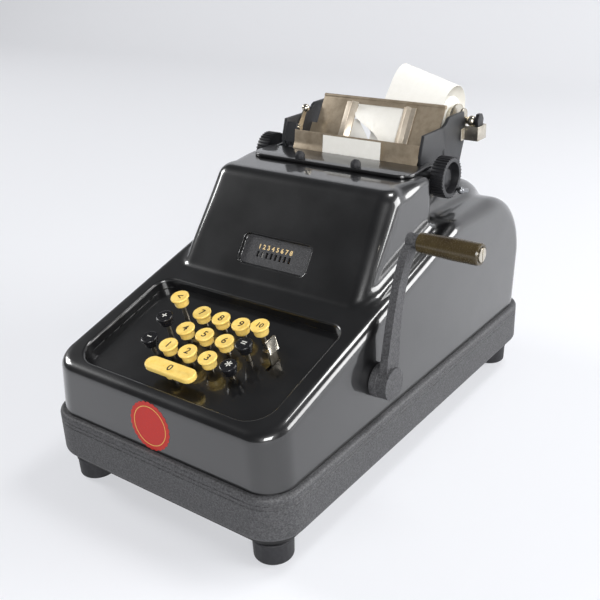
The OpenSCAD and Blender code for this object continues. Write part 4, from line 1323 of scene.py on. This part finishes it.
def make_stage():
    """A pale sweep: a floor that curves up to a wall behind the machine."""
    bpy.ops.mesh.primitive_plane_add(size=1, location=(0, -0.9, FLOOR_Z))
    sweep = named("floor")
    sweep.scale = (7, 4.6, 1)
    settle(sweep)
    clear_marks(sweep, "EDGE")
    for edge in sweep.data.edges:
        edge.select = all(sweep.data.vertices[i].co.y > 1 for i in edge.vertices)
    edit_marked()
    for i in range(WALL_STEPS):
        a0 = math.pi / 2 * i / WALL_STEPS
        a1 = math.pi / 2 * (i + 1) / WALL_STEPS
        back = WALL_BEND * (math.sin(a1) - math.sin(a0))
        move = (0, back, WALL_BEND * (math.cos(a0) - math.cos(a1)))
        bpy.ops.mesh.extrude_region_move(TRANSFORM_OT_translate={"value": move})
    bpy.ops.mesh.extrude_region_move(TRANSFORM_OT_translate={"value": (0, 0, 1.4)})
    leave_edit()
    bpy.ops.object.shade_smooth()
    material, tree, shader, _ = start_material("pale_floor", "#b2b3b6", 0.8)
    shader.inputs["Specular IOR Level"].default_value = 0.2
    rays = add(tree, "ShaderNodeLightPath")
    seen = rays.outputs["Is Camera Ray"]
    for other in ("Is Glossy Ray", "Is Transmission Ray"):
        seen = add(tree, "ShaderNodeMath", {0: seen, 1: rays.outputs[other]}, operation="MAXIMUM").outputs[0]
    shader.inputs["Emission Color"].default_value = colour("#f4f5f9")
    lift = add(tree, "ShaderNodeMath", {0: seen}, {1: FLOOR_LIFT}, operation="MULTIPLY").outputs[0]
    tree.links.new(lift, shader.inputs["Emission Strength"])
    sweep.data.materials.append(material)

    world = bpy.data.worlds.new("studio")
    bpy.context.scene.world = world
    world.use_nodes = True
    background = world.node_tree.nodes["Background"]
    background.inputs["Color"].default_value = colour("#f3f5fa")
    background.inputs["Strength"].default_value = WORLD_LIGHT


def lamp(name, place, target, size, power):
    """Hangs a soft rectangular lamp that faces a target, in metres and watts."""
    data = bpy.data.lights.new(name, "AREA")
    data.shape = "RECTANGLE"
    data.size = size[0]
    data.size_y = size[1]
    data.energy = power
    obj = bpy.data.objects.new(name, data)
    bpy.context.scene.collection.objects.link(obj)
    obj.location = place
    way = Vector(target) - Vector(place)
    obj.rotation_euler = way.to_track_quat("-Z", "Y").to_euler()


def make_camera():
    """Stands the camera where a perspective fit of the photograph puts it."""
    turn, tilt, roll = (math.radians(v) for v in (CAMERA_TURN, CAMERA_TILT, CAMERA_ROLL))
    target = Vector(CAMERA_AIM) * MM
    back = Vector((math.sin(turn) * math.cos(tilt), -math.cos(turn) * math.cos(tilt), math.sin(tilt)))
    right = Vector((math.cos(turn), math.sin(turn), 0))
    up = back.cross(right)
    across = right * math.cos(roll) + up * math.sin(roll)
    upward = up * math.cos(roll) - right * math.sin(roll)
    data = bpy.data.cameras.new("camera")
    data.lens = CAMERA_LENS
    data.sensor_width = 36
    data.clip_start = 0.01
    obj = bpy.data.objects.new("camera", data)
    bpy.context.scene.collection.objects.link(obj)
    place = Matrix((across, upward, back)).transposed().to_4x4()
    place.translation = target + back * CAMERA_FAR * MM
    obj.matrix_world = place
    bpy.context.scene.camera = obj


make_stage()
lamp("overhead", (0.5, 0.6, 1.9), (0.1, 0, 0.1), (0.5, 0.5), 13)
lamp("rear_right", (1.6, 0.9, 0.75), (0, 0, 0.1), (1.3, 0.9), 34)
lamp("front_right", (1.35, -1.7, 0.95), (0, 0, 0.15), (0.9, 0.9), 44)
lamp("left_side", (-2.6, -0.4, 1.6), (0, 0, 0.1), (0.9, 0.9), 36)
make_camera()
bpy.context.scene.view_settings.view_transform = "Standard"
